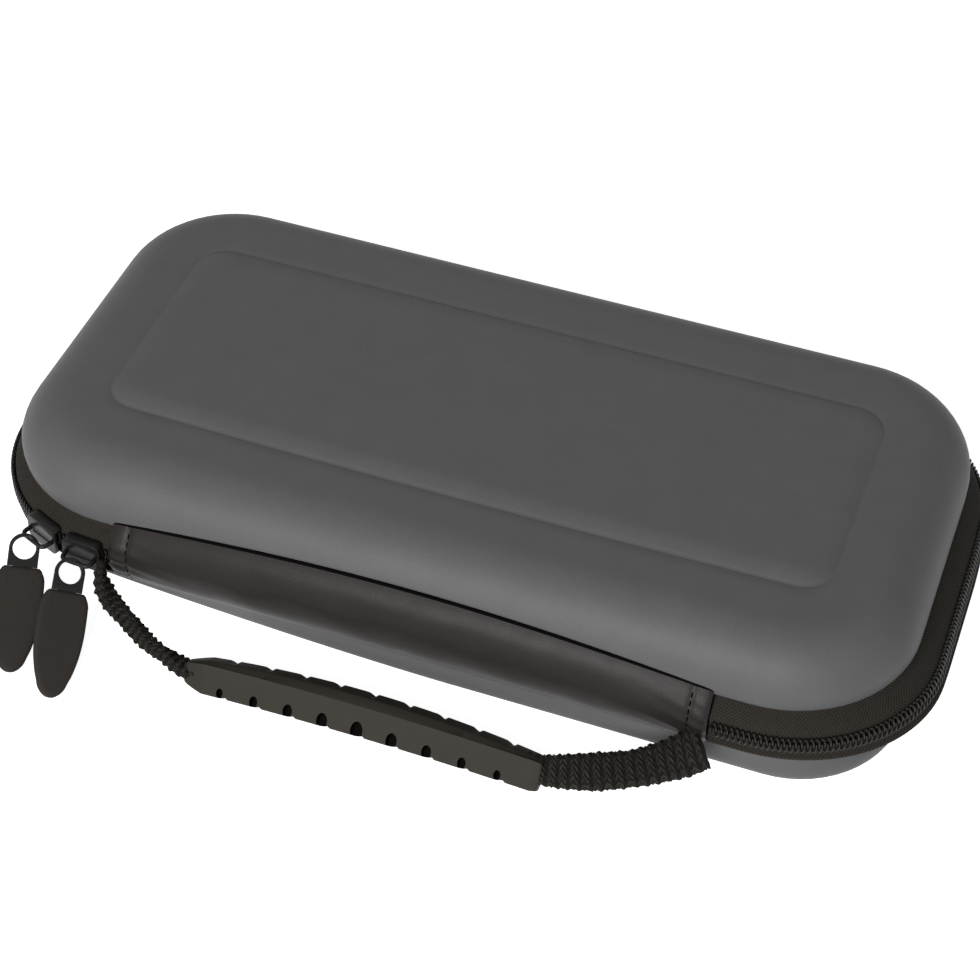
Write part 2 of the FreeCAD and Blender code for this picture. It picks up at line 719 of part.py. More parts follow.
def make_handle_grip():
    """The rubber grip: a ridged bar with scalloped edges, a row of finger notches and the strap's slot."""
    reach = size("grip_reach")
    left, right, taper = size("grip_left"), size("grip_right"), size("grip_taper")
    sections = []
    for x, share in ((left, 0.88), (left + taper, 1.0), (right - taper, 1.0), (right, 0.88)):
        wide, thick = size("grip_width") / 2 * share, size("grip_thickness") / 2 * share
        edge = size("grip_edge") / 2 * share
        corners = [Vector(x, wide - reach, edge), Vector(x, -reach, thick), Vector(x, -wide - reach, edge),
                   Vector(x, -wide - reach, -edge), Vector(x, -reach, -thick), Vector(x, wide - reach, -edge)]
        sections.append(Part.makePolygon(corners + corners[:1]))
    bar = Part.makeLoft(sections, True, True)
    count = int(size("grip_notches"))
    pitch = (right - left - taper * 4) / count
    deep, depth = size("grip_scallop"), size("grip_notch_depth")
    radius = ((size("grip_dip") / 2) ** 2 + deep ** 2) / (2 * deep)
    tall = size("grip_thickness")
    cuts = []
    for k in range(count):
        x = left + taper * 2 + pitch * (k + 0.5)
        middle = 1 - abs(2 * k - count + 1) / (count - 1)
        for side in (-1, 1):
            y = side * (size("grip_width") / 2 + radius - deep) - reach
            cuts.append(Part.makeCylinder(radius, tall, Vector(x, y, -tall / 2)))
        hole = 1.0 + 0.7 * middle
        y = -reach - size("grip_width") / 2 + size("grip_notch_in")
        cuts.append(Part.makeCylinder(hole, depth, Vector(x, y, size("grip_thickness") / 2 - depth)))
    gap = 2 * size("sewn_gap")
    slot = Part.makeBox(right - left, size("strap_width") + gap, size("strap_thickness") + gap,
                        Vector(left, -reach - (size("strap_width") + gap) / 2,
                               -(size("strap_thickness") + gap) / 2))
    grip = formed("handle_grip", bar.cut(Part.makeCompound(cuts)).cut(slot))
    grip.Placement = handle_place()
    return grip


# Inside the base: the padded tray and the two elastic straps over the console


def make_console_tray():
    """The padded insert: a thick rim round the bay that the console lies in."""
    body = new_body("console_tray")
    inset = "(shell_inset + lip_wall + tape_thickness + 2 * sewn_gap + binding_thickness + insert_gap)"
    outline = new_sketch(body, "tray_outline", offset="shell_wall + sewn_gap")
    rounded_rectangle(outline, "zip_length - 2 * " + inset, "zip_depth - 2 * " + inset, "zip_corner - " + inset)
    block = pad(body, outline, "tray_top - shell_wall - sewn_gap", "tray_block")
    fillet(body, block, "base_round - shell_wall", "tray_underside", level(size("shell_wall + sewn_gap")))
    bay = new_sketch(body, "bay_outline", offset="tray_top")
    rounded_rectangle(bay, "bay_length", "bay_depth", "bay_corner")
    pocket(body, bay, "tray_top - shell_wall - sewn_gap - tray_floor", "console_bay")
    return body


def make_elastic(name, side):
    """An elastic strap across the bay, sewn down on the tray's rim at both ends."""
    strap = doc.addObject("Part::Box", name)
    strap.Label = name
    bind(strap, "Length", "elastic_width")
    bind(strap, "Width", "elastic_length")
    bind(strap, "Height", "elastic_thickness")
    bind(strap, "Placement.Base.x", "%d * elastic_place - elastic_width / 2" % side)
    bind(strap, "Placement.Base.y", "-elastic_length / 2")
    bind(strap, "Placement.Base.z", "tray_top + sewn_gap")
    return strap


# Inside the lid: the divider flap with its card pockets, and the mesh pocket


FLAP_NEAR = "(shell_inset + lip_wall + tape_thickness + 3 * sewn_gap + lining_thickness + flap_edge - zip_depth / 2)"
FLAP_MIDDLE = "(flap_depth / 2 + %s)" % FLAP_NEAR


def make_divider_flap():
    """The padded flap over the console, sewn to the spine's lining along its near edge."""
    body = new_body("divider_flap")
    outline = new_sketch(body, "flap_outline", offset="flap_low")
    rounded_rectangle(outline, "flap_length", "flap_depth", "flap_corner", y=FLAP_MIDDLE)
    pad(body, outline, "flap_thickness", "flap_panel")
    return body


def make_divider_binding():
    """The trim round the flap's edge."""
    body = new_body("divider_binding")
    outline = new_sketch(body, "flap_trim_outline", offset="flap_low - sewn_gap")
    rounded_rectangle(outline, "flap_length + 2 * flap_edge", "flap_depth + 2 * flap_edge",
                      "flap_corner + flap_edge", y=FLAP_MIDDLE)
    rounded_rectangle(outline, "flap_length", "flap_depth", "flap_corner", y=FLAP_MIDDLE)
    pad(body, outline, "flap_thickness + 2 * sewn_gap", "flap_trim")
    return body


def make_card_row(name, side):
    """A row of card pockets on the flap: each is open along its far edge."""
    body = new_body(name)
    outline = new_sketch(body, name + "_outline", offset="flap_low + flap_thickness + sewn_gap")
    middle = "(%s + %d * card_row_place)" % (FLAP_MIDDLE, side)
    left, right = "-card_row_length / 2", "card_row_length / 2"
    near, far = "%s - card_row_depth / 2" % middle, "%s + card_row_depth / 2" % middle
    polygon(outline, [(left, near), (right, near), (right, far), (left, far)])
    pad(body, outline, "card_row_thickness", name + "_panel")
    slots = new_sketch(body, name + "_slots",
                       offset="flap_low + flap_thickness + sewn_gap + card_row_thickness / 2")
    count = int(size("card_row_length / (card_width + 4)"))
    for k in range(count):
        centre = "%g * card_row_length / %d" % (k + 0.5 - count / 2, count)
        polygon(slots, [("%s - card_width / 2" % centre, "%s - card_row_depth + 4" % far),
                        ("%s + card_width / 2" % centre, "%s - card_row_depth + 4" % far),
                        ("%s + card_width / 2" % centre, far + " + 1"),
                        ("%s - card_width / 2" % centre, far + " + 1")])
    pocket(body, slots, "card_slot", name + "_pockets", both=True)
    return body


MESH_INSET = "(shell_inset + shell_wall + 2 * insert_gap)"


def make_mesh_pocket():
    """The mesh across the near part of the lid, open along its far edge."""
    body = new_body("mesh_pocket")
    outline = new_sketch(body, "mesh_outline", offset="mesh_height")
    plan = ("zip_length - 2 * " + MESH_INSET, "zip_depth - 2 * " + MESH_INSET, "zip_corner - " + MESH_INSET)
    rounded_rectangle(outline, *plan)
    pad(body, outline, "mesh_thickness", "mesh_sheet")
    mouth = new_sketch(body, "mesh_mouth", offset="mesh_height + mesh_thickness")
    edge = "%s - zip_depth / 2 + mesh_reach" % MESH_INSET
    side, back = "zip_length / 2", "zip_depth / 2"
    polygon(mouth, [("-" + side, edge), (side, edge), (side, back), ("-" + side, back)])
    pocket(body, mouth, "mesh_thickness", "mesh_cut")
    return body


def make_mesh_hem():
    """The elastic hem along the mesh pocket's mouth, sewn into the lid's wall at both ends."""
    body = new_body("mesh_pocket_hem")
    section = new_sketch(body, "hem_section", "YZ_Plane")
    near = "(%s - zip_depth / 2 + mesh_reach + sewn_gap)" % MESH_INSET
    low = "(mesh_height + mesh_thickness / 2 - hem_thickness / 2)"
    polygon(section, [(near, low), (near + " + hem_width", low),
                      (near + " + hem_width", low + " + hem_thickness"), (near, low + " + hem_thickness")])
    pad(body, section, "zip_length - 2 * insert_gap - 2 * " + MESH_INSET, "hem_band", both=True)
    return body


def check(parts):
    """Stop if an object has failed or a sub-part has no valid shape."""
    for thing in doc.Objects:
        bad = [word for word in thing.State if word in ("Invalid", "Error")]
        if bad:
            raise RuntimeError("%s: %s" % (thing.Label, bad))
    for part in parts:
        if part.Shape.isNull() or not part.Shape.isValid() or not part.Shape.Solids:
            raise RuntimeError("%s has no valid solid" % part.Label)


def build():
    """Make every sub-part, check them and write each to its own file."""
    fill_sheet()
    parts = [
        make_base_shell(),
        make_lid_shell(),
        make_tape("base_zip_tape", -1, "base_rim"),
        make_tape("lid_zip_tape", 1, "lid_rim"),
        make_coil("base_zip_coil", -1, 0.5),
        make_coil("lid_zip_coil", 1, 0),
        make_binding("base_binding", -1, "base_rim"),
        make_binding("lid_binding", 1, "lid_rim"),
        make_spine_cover(),
        make_spine_lining(),
    ]
    for letter in ("a", "b"):
        turn = "slider_%s_turn" % letter
        parts += [make_slider(letter, turn), make_bridge(letter, turn),
                  make_pull_ring(letter), make_pull_tab(letter)]
    parts += [
        make_handle_strap(),
        make_handle_grip(),
        make_console_tray(),
        make_elastic("console_strap_left", -1),
        make_elastic("console_strap_right", 1),
        make_divider_flap(),
        make_divider_binding(),
        make_card_row("card_row_near", -1),
        make_card_row("card_row_far", 1),
        make_mesh_pocket(),
        make_mesh_hem(),
    ]
    doc.recompute()
    check(parts)
    os.makedirs("parts", exist_ok=True)
    for part in parts:
        part.Shape.exportStep("parts/%s.step" % part.Label)
        print(part.Label, len(part.Shape.Solids), round(part.Shape.Volume))


build()
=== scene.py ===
"""Looks of the hard console case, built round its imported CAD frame.

Each sub-assembly is a class that holds its sizes in millimetres and builds its own pieces: the two
moulded shells, the zip, the spine, the two sliders with their pulls, the handle, and the padded
inside. Pieces are modelled in millimetres and settled into the frame, in metres, when they are done.
"""

import logging
import math
from collections.abc import Callable, Iterable, Sequence
from dataclasses import dataclass, replace
from enum import Enum

import bmesh
import bpy
from mathutils import Matrix, Vector, noise


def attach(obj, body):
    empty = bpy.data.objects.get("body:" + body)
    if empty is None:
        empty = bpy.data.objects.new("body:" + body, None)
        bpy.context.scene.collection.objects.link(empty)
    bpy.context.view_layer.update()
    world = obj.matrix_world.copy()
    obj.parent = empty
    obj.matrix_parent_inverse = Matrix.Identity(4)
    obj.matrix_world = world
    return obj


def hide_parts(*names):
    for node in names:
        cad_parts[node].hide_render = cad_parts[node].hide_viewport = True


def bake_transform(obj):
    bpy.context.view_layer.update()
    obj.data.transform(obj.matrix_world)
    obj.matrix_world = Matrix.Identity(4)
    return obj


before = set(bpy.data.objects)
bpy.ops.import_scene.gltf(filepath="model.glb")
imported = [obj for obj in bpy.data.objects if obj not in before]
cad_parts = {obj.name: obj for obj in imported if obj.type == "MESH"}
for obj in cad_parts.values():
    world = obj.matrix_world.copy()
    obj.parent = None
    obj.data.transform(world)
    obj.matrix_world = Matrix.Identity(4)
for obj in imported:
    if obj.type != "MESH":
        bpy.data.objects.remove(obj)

log = logging.getLogger("console_case")

MM = 0.001
TURN = 2 * math.pi
UV_NAME = "run"
RIB_PITCH = 2.8
SHARPEST_CORNER = 0.6
Rows = list[list[Vector]]
Piece = bpy.types.Object


# Shader expressions


class Value:
    """A shader socket that takes part in Python expressions."""

    def __init__(self, shader: "Shader", socket: bpy.types.NodeSocket) -> None:
        """Keep the socket and the shader that it belongs to."""
        self.shader = shader
        self.socket = socket

    def _math(self, operation: str, first: "Value | float", second: "Value | float") -> "Value":
        """A Math node on two values."""
        return self.shader.node("ShaderNodeMath", {"operation": operation}, {0: first, 1: second})

    def __add__(self, other: "Value | float") -> "Value":
        """Sum."""
        return self._math("ADD", self, other)

    def __radd__(self, other: float) -> "Value":
        """Sum, with a number first."""
        return self._math("ADD", other, self)

    def __sub__(self, other: "Value | float") -> "Value":
        """Difference."""
        return self._math("SUBTRACT", self, other)

    def __rsub__(self, other: float) -> "Value":
        """Difference, with a number first."""
        return self._math("SUBTRACT", other, self)

    def __mul__(self, other: "Value | float") -> "Value":
        """Product."""
        return self._math("MULTIPLY", self, other)

    def __rmul__(self, other: float) -> "Value":
        """Product, with a number first."""
        return self._math("MULTIPLY", other, self)

    def output(self, name: int | str) -> "Value":
        """Another output of the same node."""
        return Value(self.shader, self.socket.node.outputs[name])

    def sine(self) -> "Value":
        """Sine, brought to the span from 0 to 1."""
        return self._math("SINE", self, 0.0) * 0.5 + 0.5

    def fold(self, span: float) -> "Value":
        """Up and down again in steps of span, as a herringbone's rows turn."""
        return self._math("PINGPONG", self, span)

    def step(self, low: float, high: float) -> "Value":
        """A smooth step from 0 at low to 1 at high."""
        settings = {"interpolation_type": "SMOOTHSTEP"}
        inputs = {"Value": self, "From Min": low, "From Max": high}
        return self.shader.node("ShaderNodeMapRange", settings, inputs)


class Shader:
    """The node tree of one material or world."""

    def __init__(self, owner: bpy.types.Material | bpy.types.World) -> None:
        """Empty the owner's tree."""
        owner.use_nodes = True
        self.owner = owner
        self.tree = owner.node_tree
        self.tree.nodes.clear()

    def node(self, kind: str, settings: dict | None = None, inputs: dict | None = None,
             out: int | str = 0) -> Value:
        """Add a node.

        Args:
            kind: The node's type.
            settings: Its own settings, set before its sockets.
            inputs: Values or links by socket index or name.
            out: Which output is wanted.

        Returns:
            That output as a value.
        """
        made = self.tree.nodes.new(kind)
        for key, value in (settings or {}).items():
            setattr(made, key, value)
        for key, value in (inputs or {}).items():
            if isinstance(value, Value):
                self.tree.links.new(value.socket, made.inputs[key])
            else:
                made.inputs[key].default_value = value
        return Value(self, made.outputs[out] if made.outputs else None)

    def mix(self, factor: Value, first: Sequence[float], second: Sequence[float]) -> Value:
        """A colour between two colours."""
        inputs = {0: factor, 6: (*first, 1.0), 7: (*second, 1.0)}
        return self.node("ShaderNodeMix", {"data_type": "RGBA"}, inputs, out=2)

    def place(self) -> Value:
        """Object coordinates."""
        return self.node("ShaderNodeTexCoord", out="Object")

    def run(self) -> tuple[Value, Value]:
        """Distance along the piece and across it, in millimetres, from its own UV map."""
        uv = self.node("ShaderNodeUVMap", {"uv_map": UV_NAME})
        parts = self.node("ShaderNodeSeparateXYZ", inputs={0: uv})
        return parts, parts.output(1)

    def cloud(self, size_mm: float, detail: float = 2.0, roughness: float = 0.5) -> Value:
        """Noise with features of a size, over the piece."""
        inputs = {"Vector": self.place(), "Scale": 1 / (size_mm * MM), "Detail": detail,
                  "Roughness": roughness}
        return self.node("ShaderNodeTexNoise", inputs=inputs)

    def cells(self, size_mm: float, feature: str = "F1", randomness: float = 1.0) -> Value:
        """Distance in a cell pattern with cells of a size, over the piece."""
        inputs = {"Vector": self.place(), "Scale": 1 / (size_mm * MM), "Randomness": randomness}
        return self.node("ShaderNodeTexVoronoi", {"feature": feature}, inputs, out="Distance")


class Surface(Enum):
    """What a finish is like to the touch."""

    MOULDED = "moulded foam skin"
    LEATHER = "smooth leather"
    TWILL = "herringbone tape"
    RIBBED = "ribbed trim"
    YARN = "woven yarn"
    FLEECE = "brushed fleece"
    NYLON = "smooth nylon"
    METAL = "painted metal"
    RUBBER = "soft rubber"
    CANVAS = "plain weave"
    NET = "open mesh"


@dataclass(frozen=True)
class Finish:
    """One finish: a colour as it is seen, from 0 to 255, and the relief of its surface."""

    name: str
    surface: Surface
    colour: tuple[int, int, int]
    roughness: float
    grain: float
    relief: float
    variation: float = 0.10
    metallic: float = 0.0
    sheen: float = 0.0
    specular: float = 0.2
    gloss_span: float = 0.12

    def linear(self, gain: float) -> tuple[float, ...]:
        """The colour in linear light, times a gain."""
        shares = [c / 255 for c in self.colour]
        return tuple(gain * (s / 12.92 if s <= 0.04045 else ((s + 0.055) / 1.055) ** 2.4) for s in shares)

    def relief_of(self, shader: Shader) -> tuple[Value, Value]:
        """The surface's height and its tint, both from 0 to 1."""
        grain = self.grain
        match self.surface:
            case Surface.MOULDED:
                fine = shader.cloud(grain, 3.0, 0.6)
                swell = shader.cloud(26.0, 1.0)
                return fine * 0.75 + swell * 2.2, fine * 0.55 + shader.cloud(9.0, 3.0) * 0.45
            case Surface.LEATHER:
                creases = shader.cells(grain, "DISTANCE_TO_EDGE").step(0.0, 0.35)
                swell = shader.cloud(11.0, 2.0)
                return creases * 0.35 + swell * 2.4, shader.cloud(5.0, 3.0) * 0.7 + creases * 0.3
            case Surface.TWILL:
                along, across = shader.run()
                ribs = ((along + across.fold(grain * 3.2)) * (TURN / grain)).sine()
                yarn = (across * (TURN / grain * 2)).sine()
                return ribs * 0.8 + yarn * 0.2, ribs * 0.55 + shader.cloud(1.4, 2.0) * 0.45
            case Surface.RIBBED:
                along, across = shader.run()
                ribs = (along * (TURN / grain)).sine()
                threads = (across * (TURN / grain)).sine()
                return ribs * 0.8 + threads * 0.2, ribs * 0.6 + shader.cloud(1.2) * 0.4
            case Surface.YARN:
                along, across = shader.run()
                strands = ((along + across.fold(grain * 2)) * (TURN / grain)).sine()
                cross = ((across - along * 0.4) * (TURN / grain * 0.8)).sine()
                ribs = (along * (TURN / RIB_PITCH) + TURN / 4).sine()
                fine = strands * 0.4 + shader.cloud(0.9, 3.0) * 0.5
                knots = ((across + along.fold(RIB_PITCH / 2) * 1.1) * (TURN / 1.3)).sine()
                # The rib term darkens the valleys between the ribs: painted shade. The knots vary the crests'
                # tone.
                tint = fine * 0.35 + ribs.step(0.05, 0.5) * (knots * 0.45 + 0.2)
                return strands * 0.3 + cross * 0.2 + knots * 0.9, tint
            case Surface.FLEECE:
                pile = shader.cloud(grain, 4.0, 0.7)
                return pile + shader.cells(grain * 2.5) * 0.3, pile * 0.5 + shader.cloud(7.0, 3.0) * 0.5
            case Surface.NYLON:
                haze = shader.cloud(grain, 2.0)
                return haze, haze * 0.5 + shader.cloud(14.0) * 0.5
            case Surface.METAL:
                worn = shader.cloud(grain, 4.0, 0.7)
                return worn, worn.step(0.35, 0.75)
            case Surface.RUBBER:
                speck = shader.cloud(grain, 3.0, 0.6)
                return speck, speck * 0.5 + shader.cloud(4.0, 3.0) * 0.5
            case Surface.CANVAS:
                spot = shader.node("ShaderNodeSeparateXYZ", inputs={0: shader.place()})
                pitch = TURN / (grain * MM)
                weave = (spot * pitch).sine() * (spot.output(1) * pitch).sine()
                return weave, weave * 0.5 + shader.cloud(2.0, 2.0) * 0.5
            case Surface.NET:
                holes = shader.cells(grain, randomness=0.0)
                return 1.0 - holes, shader.cloud(1.0)

    def material(self) -> bpy.types.Material:
        """The finish as a Blender material, made once."""
        found = bpy.data.materials.get(self.name)
        if found:
            return found
        shader = Shader(bpy.data.materials.new(self.name))
        height, tint = self.relief_of(shader)
        dark, pale = self.linear(1 - self.variation), self.linear(1 + self.variation)
        colour = shader.mix(tint.step(0.2, 0.8), dark, pale)
        raised = {"Strength": 1.0, "Distance": self.relief * MM, "Height": height}
        bump = shader.node("ShaderNodeBump", inputs=raised)
        inputs = {
            "Base Color": colour,
            "Roughness": tint * -self.gloss_span + (self.roughness + self.gloss_span / 2),
            "Metallic": self.metallic,
            "Sheen Weight": self.sheen,
            "Specular IOR Level": self.specular,
            "Normal": bump,
        }
        if self.surface is Surface.NET:
            inputs["Alpha"] = shader.cells(self.grain, randomness=0.0).step(0.30, 0.34)
        surface = shader.node("ShaderNodeBsdfPrincipled", inputs=inputs)
        shader.node("ShaderNodeOutputMaterial", inputs={0: surface})
        return shader.owner


SKIN = Finish("moulded_grey_skin", Surface.MOULDED, (80, 80, 81), 0.56, 0.6, 0.075, 0.07, specular=0.24)
LINING = Finish("brushed_lining", Surface.FLEECE, (50, 50, 52), 0.92, 0.5, 0.20, 0.2, sheen=0.25)
TAPE = Finish("herringbone_tape", Surface.TWILL, (41, 38, 34), 0.82, 1.05, 0.17, 0.28, specular=0.1)
COIL = Finish("nylon_coil", Surface.NYLON, (22, 20, 18), 0.34, 0.6, 0.01, 0.1, specular=0.16)
TRIM = Finish("woven_trim", Surface.RIBBED, (38, 37, 37), 0.85, 0.9, 0.10, 0.25, specular=0.1)
LEATHER = Finish("smooth_black_leather", Surface.LEATHER, (31, 27, 26), 0.42, 0.7, 0.03, 0.10, specular=0.13)
# The thread's near-black; it also dresses the bead of painted shade along the spine cover's top edge.
THREAD_AND_CREASE_SHADE = Finish("black_thread_and_crease_shade", Surface.NYLON, (11, 10, 10), 0.8, 0.3, 0.02, 0.2, specular=0.0)
METAL = Finish("black_metal", Surface.METAL, (21, 20, 19), 0.34, 0.5, 0.012, 0.25, metallic=0.1)
TAB_RUBBER = Finish("matt_tab_rubber", Surface.RUBBER, (41, 38, 35), 0.66, 0.25, 0.02, 0.06, specular=0.1)
GRIP_RUBBER = Finish("matt_grip_rubber", Surface.RUBBER, (46, 43, 38), 0.56, 0.35, 0.03, 0.07, specular=0.1)
# Near-black painted shade for the insides of the grip's notches.
NOTCH_SHADE = Finish("grip_notch_shade", Surface.RUBBER, (14, 13, 12), 0.9, 0.35, 0.02, 0.1, specular=0.0)
# Its yarn pattern darkens the valleys between the webbing's ribs as painted shade.
WEBBING = Finish("black_webbing", Surface.YARN, (40, 38, 34), 0.85, 0.75, 0.45, 0.55, specular=0.12)
FLEECE = Finish("brushed_tray_fleece", Surface.FLEECE, (46, 46, 48), 0.94, 0.5, 0.22, 0.2, sheen=0.3)
ELASTIC = Finish("elastic_band", Surface.RIBBED, (32, 32, 33), 0.8, 1.1, 0.15, 0.25)
CARD = Finish("plain_card_fabric", Surface.CANVAS, (44, 44, 46), 0.75, 0.8, 0.06, 0.15)
NET = Finish("pocket_mesh", Surface.NET, (34, 34, 35), 0.8, 2.6, 0.2, 0.1)


# Lines and sections


def ramp(value: float, start: float, end: float) -> float:
    """0 up to the start, 1 from the end on, and even between them. The end may lie below the start."""
    return min(max((value - start) / (end - start), 0.0), 1.0)


def eased(share: float) -> float:
    """A share from 0 to 1 that starts and ends softly."""
    return share * share * (3 - 2 * share)


def bell(gap: float, width: float) -> float:
    """1 in the middle of a fold, and next to nothing two widths away."""
    return math.exp(-(gap / width) ** 2)


@dataclass(frozen=True)
class Plan:
    """A rounded rectangle seen from above, in millimetres. Its rings all have the same number of points."""

    length: float
    depth: float
    corner: float
    middle_y: float = 0.0
    corner_steps: int = 14
    long_steps: int = 44
    short_steps: int = 18

    def inset(self, by: float) -> "Plan":
        """The same plan drawn in by a distance all round."""
        corner = max(self.corner - by, SHARPEST_CORNER)
        return replace(self, length=self.length - 2 * by, depth=self.depth - 2 * by, corner=corner)

    def toward(self, other: "Plan", share: float) -> "Plan":
        """A plan part of the way to another."""
        names = ("length", "depth", "corner", "middle_y")
        ends = {name: (getattr(self, name), getattr(other, name)) for name in names}
        return replace(self, **{name: a + (b - a) * share for name, (a, b) in ends.items()})

    def ring(self, height: float, bow: float = 0.0) -> list[Vector]:
        """Points round the plan, anticlockwise from the near side's left end.

        Args:
            height: The ring's height.
            bow: How far the middle of the near side stands out.

        Returns:
            The points, as many for every plan with the same steps.
        """
        half_x, half_y, r = self.length / 2, self.depth / 2, self.corner
        x, y = half_x - r, half_y - r
        points = []
        sides = [((-x, -half_y), (x, -half_y), self.long_steps),
                 ((half_x, -y), (half_x, y), self.short_steps),
                 ((x, half_y), (-x, half_y), self.long_steps),
                 ((-half_x, y), (-half_x, -y), self.short_steps)]
        centres = [(x, -y), (x, y), (-x, y), (-x, -y)]
        for side, ((start, end, steps), centre) in enumerate(zip(sides, centres)):
            for k in range(steps):
                t = k / steps
                out = bow * (1 - (2 * t - 1) ** 2) if side == 0 else 0.0
                points.append(Vector((start[0] + (end[0] - start[0]) * t,
                                      start[1] + (end[1] - start[1]) * t - out, height)))
            for k in range(self.corner_steps):
                angle = TURN / 4 * (side - 1 + k / self.corner_steps)
                spot = (centre[0] + r * math.cos(angle), centre[1] + r * math.sin(angle))
                points.append(Vector((*spot, height)))
        shift = Vector((0, self.middle_y, 0))
        return [p + shift for p in points]


@dataclass(frozen=True)
class Station:
    """A place on the zip line: the point, the way outwards and how far along it is."""

    point: Vector
    outward: Vector
    distance: float
    flare: float = 0.0
    lean: float = 0.0
    seat: float = 6.35
    free: float = 2.0

    def at(self, inset: float, height: float) -> Vector:
        """A point behind the zip line at a height. What isn't sewn down stands out where the zip flares."""
        loose = ramp(inset, self.seat, self.free)
        out = self.flare - self.lean * (height - ZIP.height)
        place = self.point - self.outward * (inset - out * loose)
        return Vector((place.x, place.y, height))


@dataclass(frozen=True)
class ZipLine:
    """The zip's line, round the case from the spine's right end to its left end."""

    length: float = 262.0
    depth: float = 136.0
    corner: float = 40.5
    height: float = 21.0
    spine_left: float = -84.0
    spine_right: float = 81.5
    flare: float = 2.8
    lean: float = 0.32
    flare_run: tuple[float, float, float, float] = (10.0, 80.0, 108.0, 185.0)

    def loose(self, distance: float) -> float:
        """Round the right end, the share by which the free tape and the coil stand out and lean back."""
        start, full, leave, end = self.flare_run
        return eased(min(ramp(distance, start, full), ramp(distance, end, leave)))

    def station(self, point: Vector, outward: Vector, distance: float) -> Station:
        """A station with its share of the flare."""
        loose = self.loose(distance)
        return Station(point, outward, distance, self.flare * loose, self.lean * loose)

    def runs(self) -> list[tuple[Vector, Vector, Vector | None, float]]:
        """Runs and corners as (start or centre, outward, way or nothing, length)."""
        half_x, half_y, r = self.length / 2, self.depth / 2, self.corner
        x, y = half_x - r, half_y - r
        near, right, far, left = (Vector(v) for v in ((0, -1, 0), (1, 0, 0), (0, 1, 0), (-1, 0, 0)))
        arc = r * TURN / 4
        return [
            (Vector((self.spine_right, -half_y, 0)), near, Vector((1, 0, 0)), x - self.spine_right),
            (Vector((x, -y, 0)), near, None, arc),
            (Vector((half_x, -y, 0)), right, Vector((0, 1, 0)), 2 * y),
            (Vector((x, y, 0)), right, None, arc),
            (Vector((x, half_y, 0)), far, Vector((-1, 0, 0)), 2 * x),
            (Vector((-x, y, 0)), far, None, arc),
            (Vector((-half_x, y, 0)), left, Vector((0, -1, 0)), 2 * y),
            (Vector((-x, -y, 0)), left, None, arc),
            (Vector((-x, -half_y, 0)), near, Vector((1, 0, 0)), self.spine_left + x),
        ]

    def total(self) -> float:
        """How long the zip is."""
        return sum(run[3] for run in self.runs())

    def at(self, distance: float) -> Station:
        """The station at a distance along the zip."""
        left = distance
        for start, outward, way, length in self.runs():
            if left <= length + 1e-9:
                break
            left -= length
        if way is not None:
            return self.station(start + way * left, outward, distance)
        turned = Matrix.Rotation(TURN / 4 * left / length, 3, "Z") @ outward
        return self.station(start + turned * self.corner, turned, distance)

    def stations(self, step: float) -> list[Station]:
        """Stations about a step apart, with one at each end."""
        count = round(self.total() / step)
        return [self.at(self.total() * k / count) for k in range(count + 1)]


ZIP = ZipLine()


def smooth_line(points: Sequence[Sequence[float]], step: float) -> list[Vector]:
    """A smooth line through points, with places about a step apart."""
    way = [Vector(p) for p in points]
    way = [2 * way[0] - way[1], *way, 2 * way[-1] - way[-2]]
    line = []
    for a, b, c, d in zip(way, way[1:], way[2:], way[3:]):
        count = max(1, round((c - b).length / step))
        for k in range(count):
            t = k / count
            line.append(0.5 * (2 * b + (c - a) * t + (2 * a - 5 * b + 4 * c - d) * t * t
                               + (3 * b - a - 3 * c + d) * t ** 3))
    return line + [way[-2]]


def tube_rows(points: Sequence[Vector], radius: float, sides: int) -> Rows:
    """Rings of a round tube along a line, without twist."""
    rows, side = [], None
    last = len(points) - 1
    for k, point in enumerate(points):
        ahead = (points[min(k + 1, last)] - points[max(k - 1, 0)]).normalized()
        side = (ahead.orthogonal() if side is None else side - ahead * side.dot(ahead)).normalized()
        other = ahead.cross(side)
        angles = [TURN * j / sides for j in range(sides)]
        rows.append([point + radius * (side * math.cos(a) + other * math.sin(a)) for a in angles])
    return rows


def thick_section(line: Sequence[tuple[float, float]], thickness: float) -> list[Vector]:
    """A closed section of even thickness, with one face along a line of (inset, reach) points."""
    points = [Vector((x, y)) for x, y in line]
    back = []
    for k, point in enumerate(points):
        ahead = points[min(k + 1, len(points) - 1)] - points[max(k - 1, 0)]
        back.append(point + Vector((-ahead.y, ahead.x)).normalized() * thickness)
    return points + back[::-1]


# Meshes


